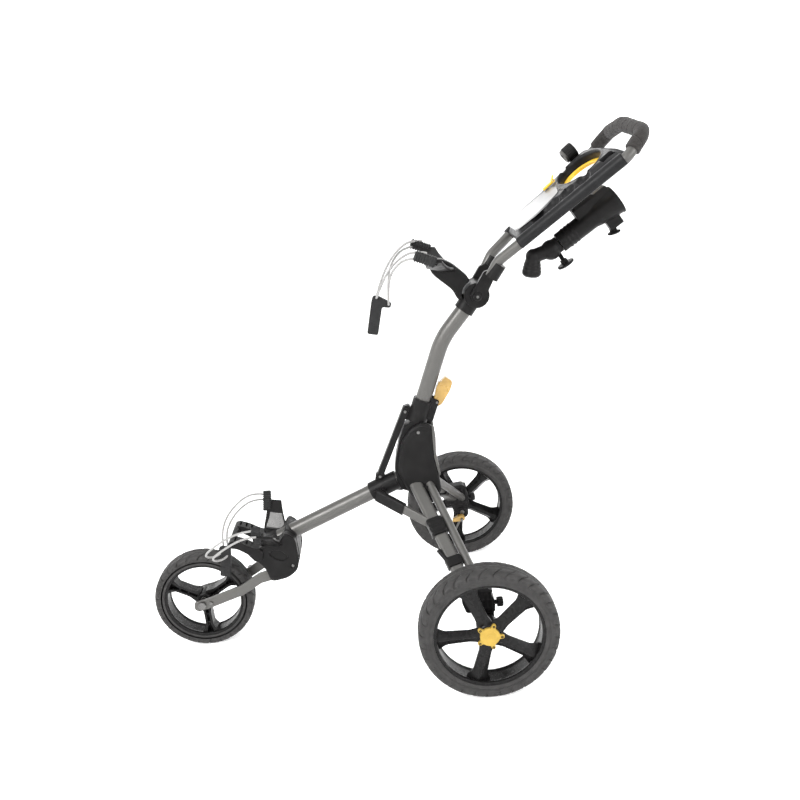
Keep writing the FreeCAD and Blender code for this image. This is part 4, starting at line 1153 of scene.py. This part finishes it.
# ---- foam grip
HALF = [V(-158, -366, 1046), V(-136, -405.5, 1091)]
GRIP_MID = V(0, -400, 1108)
GRIP_R = 16.0


def grip_line(steps=420):
    """Centre line of the grip: straight runs with rounded corners."""
    start = HALF[0] + (HALF[1] - HALF[0]).normalized() * 18
    pts = [start, HALF[1], GRIP_MID, V(-HALF[1].x, HALF[1].y, HALF[1].z), V(-start.x, start.y, start.z)]
    radii = [0, 32, 200, 32, 0]
    line = [pts[0]]
    for i in (1, 2, 3):
        p = pts[i]
        u, w = (pts[i - 1] - p), (pts[i + 1] - p)
        half = u.angle(w) / 2
        cut = min(radii[i] / math.tan(half), 0.47 * u.length, 0.47 * w.length)
        a, b = p + u.normalized() * cut, p + w.normalized() * cut
        bis = (u.normalized() + w.normalized()).normalized()
        r = cut * math.tan(half)
        centre = p + bis * (r / math.sin(half))
        n = 28
        axis = (a - centre).cross(b - centre).normalized()
        for k in range(n + 1):
            turn = Matrix.Rotation(2 * (math.pi / 2 - half) * k / n, 3, axis)
            line.append(centre + turn @ (a - centre))
    line.append(pts[-1])
    dist = [0.0]
    for p, q in zip(line, line[1:]):
        dist.append(dist[-1] + (q - p).length)
    out = []
    j = 0
    for i in range(steps + 1):
        d = dist[-1] * i / steps
        while j < len(dist) - 2 and dist[j + 1] < d:
            j += 1
        t = (d - dist[j]) / max(1e-6, dist[j + 1] - dist[j])
        out.append((d, line[j].lerp(line[j + 1], t)))
    return out


def foam_grip():
    line = grip_line()
    total = line[-1][0]
    rows = []
    steps = 72
    for i, (d, p) in enumerate(line):
        q = line[min(i + 1, len(line) - 1)][1] - line[max(i - 1, 0)][1]
        axis = q.normalized()
        u = axis.cross(V(0, 0.6, 0.8)).normalized()
        v = axis.cross(u)
        edge = min(d, total - d)
        end = math.sqrt(max(0.02, 1 - (1 - min(1.0, edge / 3.5)) ** 2))
        row = []
        for k in range(steps):
            t = 2 * math.pi * k / steps
            wrap = (d / 34.0 + t / (2 * math.pi)) % 1.0
            crease = 1.3 * math.exp(-((wrap - 0.5) * 34.0 / 0.9) ** 2)
            rib = 0.22 * math.cos(2 * math.pi * d / 2.6)
            slack = 0.25 * math.sin(d / 17.0 + 2 * t) + 0.18 * math.sin(d / 6.3 - 3 * t)
            r = (GRIP_R - 0.5 + rib + slack - crease) * (0.86 + 0.14 * end)
            row.append(p + u * r * math.cos(t) + v * r * math.sin(t))
        rows.append(row)
    return make("foam_sleeve", Solid().sections(rows).bm, "foam", "handle", ("handle_grip",), 60)


foam_grip()


# ---- umbrella holder
BAR_A, BAR_B = V(-30, -248, 877.5), V(-30, -375, 957.5)
BAR_DIR = (BAR_B - BAR_A).normalized()
BAR_UP = V(0, BAR_DIR.z, -BAR_DIR.y)
BAR_LEN = (BAR_B - BAR_A).length


def by_bar(back, up):
    """A place measured back from the barrel's mouth and up towards the tray."""
    return BAR_B - BAR_DIR * back + BAR_UP * up


def umbrella_socket():
    s = Solid().turned(BAR_A, BAR_DIR, [(0, 20.5), (1.5, 22), (BAR_LEN - 66, 22.4), (BAR_LEN - 54, 25.5),
                                        (BAR_LEN - 20, 29.6), (BAR_LEN - 5, 31.4), (BAR_LEN - 4, 33),
                                        (BAR_LEN - 0.6, 33), (BAR_LEN, 32.4)], 96)
    for k in range(3):
        a = BAR_A + BAR_DIR * (18 + 9 * k)
        s.cone(a, a + BAR_DIR * 3.2, 23.4, 23.4, 64)
    s.beam(by_bar(92, 16), by_bar(6, 16), 30.0, 50.0, radius=5.0)
    s.beam(by_bar(48, -36), by_bar(16, -36), 22.0, 23.0, radius=4.0)
    # hanger up to the tray between card window and cup ring; only drawn here, the CAD has no such solid
    s.beam(by_bar(60, 30), tray(-30, 172, -3.2), 26.0, 52.0, end=(26.0, 20.0), radius=4.0)
    cuts = Solid().turned(BAR_A + BAR_DIR * 20, BAR_DIR, [(0, 17.5), (BAR_LEN - 40, 17.5), (BAR_LEN - 24, 23),
                                                          (BAR_LEN - 19, 29.2), (BAR_LEN + 140, 30.0)], 96)
    cuts.sections([tray_outline(-3.4, 2.0), tray_outline(60.0, 2.0)])
    side_rails(cuts, 14.6)
    fused("umbrella_socket", s, "black_plastic", "handle", ("umbrella_barrel",), 0.001, 4, cuts)


def disc_knob(name, node, body, start, axis, stem, radius, thick):
    """Thin fluted disc with a domed face on a stepped stem."""
    face = stem + thick
    s = Solid().turned(start, axis, [(-11, 3.9), (stem - 9, 3.9), (stem - 8.6, 7.0), (stem - 0.6, 7.6),
                                     (stem, radius - 2.2), (stem + 1.2, radius - 0.5),
                                     (face - 1.4, radius - 0.5), (face, radius - 3.0), (face - 0.4, 6.0),
                                     (face - 1.6, 5.0), (face - 1.6, 0.05)], 180, 0.45, 30)
    make(name, s.bm, "black_plastic", body, (node,), 32)


umbrella_socket()
K1_AXIS, K2_AXIS = V(0, -0.26, -0.966).normalized(), V(0, -0.48, -0.877).normalized()
disc_knob("socket_disc", "barrel_knob", "socket_knob", V(-30, -359.5, 913.0), K1_AXIS, 24.0, 14.0, 5.0)
disc_knob("elbow_disc", "elbow_knob", "swivel_knob", V(-30, -244.6, 858.9), K2_AXIS, 28.0, 19.0, 6.0)

ELBOW_AT, CONE_AT, CONE_DIR = BAR_A - BAR_DIR * 22, V(-30, -190.5, 856), V(0, 0.17, -0.985).normalized()
elbow = Solid().cone(ELBOW_AT, BAR_A - BAR_DIR * 1.0, 18.0, 18.0).ball(ELBOW_AT, 22.0)
elbow.cone(ELBOW_AT, CONE_AT, 15.8, 15.0).ball(CONE_AT, 16.5)
elbow.turned(CONE_AT, CONE_DIR, [(0, 14.0), (12, 17.0), (34, 20.6), (38, 20.4), (42, 17.5), (45, 12.5)], 64)
for k in range(3):
    c = CONE_AT + CONE_DIR * (16 + 7 * k)
    elbow.cone(c, c + CONE_DIR * 2.4, 18.6 + 1.1 * k, 18.8 + 1.1 * k, 64)
# keeps the arm clear of the barrel; as in the CAD, nothing spans the gap between them
elbow_cut = Solid().cone(BAR_A - BAR_DIR * 0.6, BAR_A + BAR_DIR * 40, 50, 50)
fused("umbrella_arm", elbow, "black_plastic", "swivel", ("umbrella_elbow",), 0.0009, 4, elbow_cut)
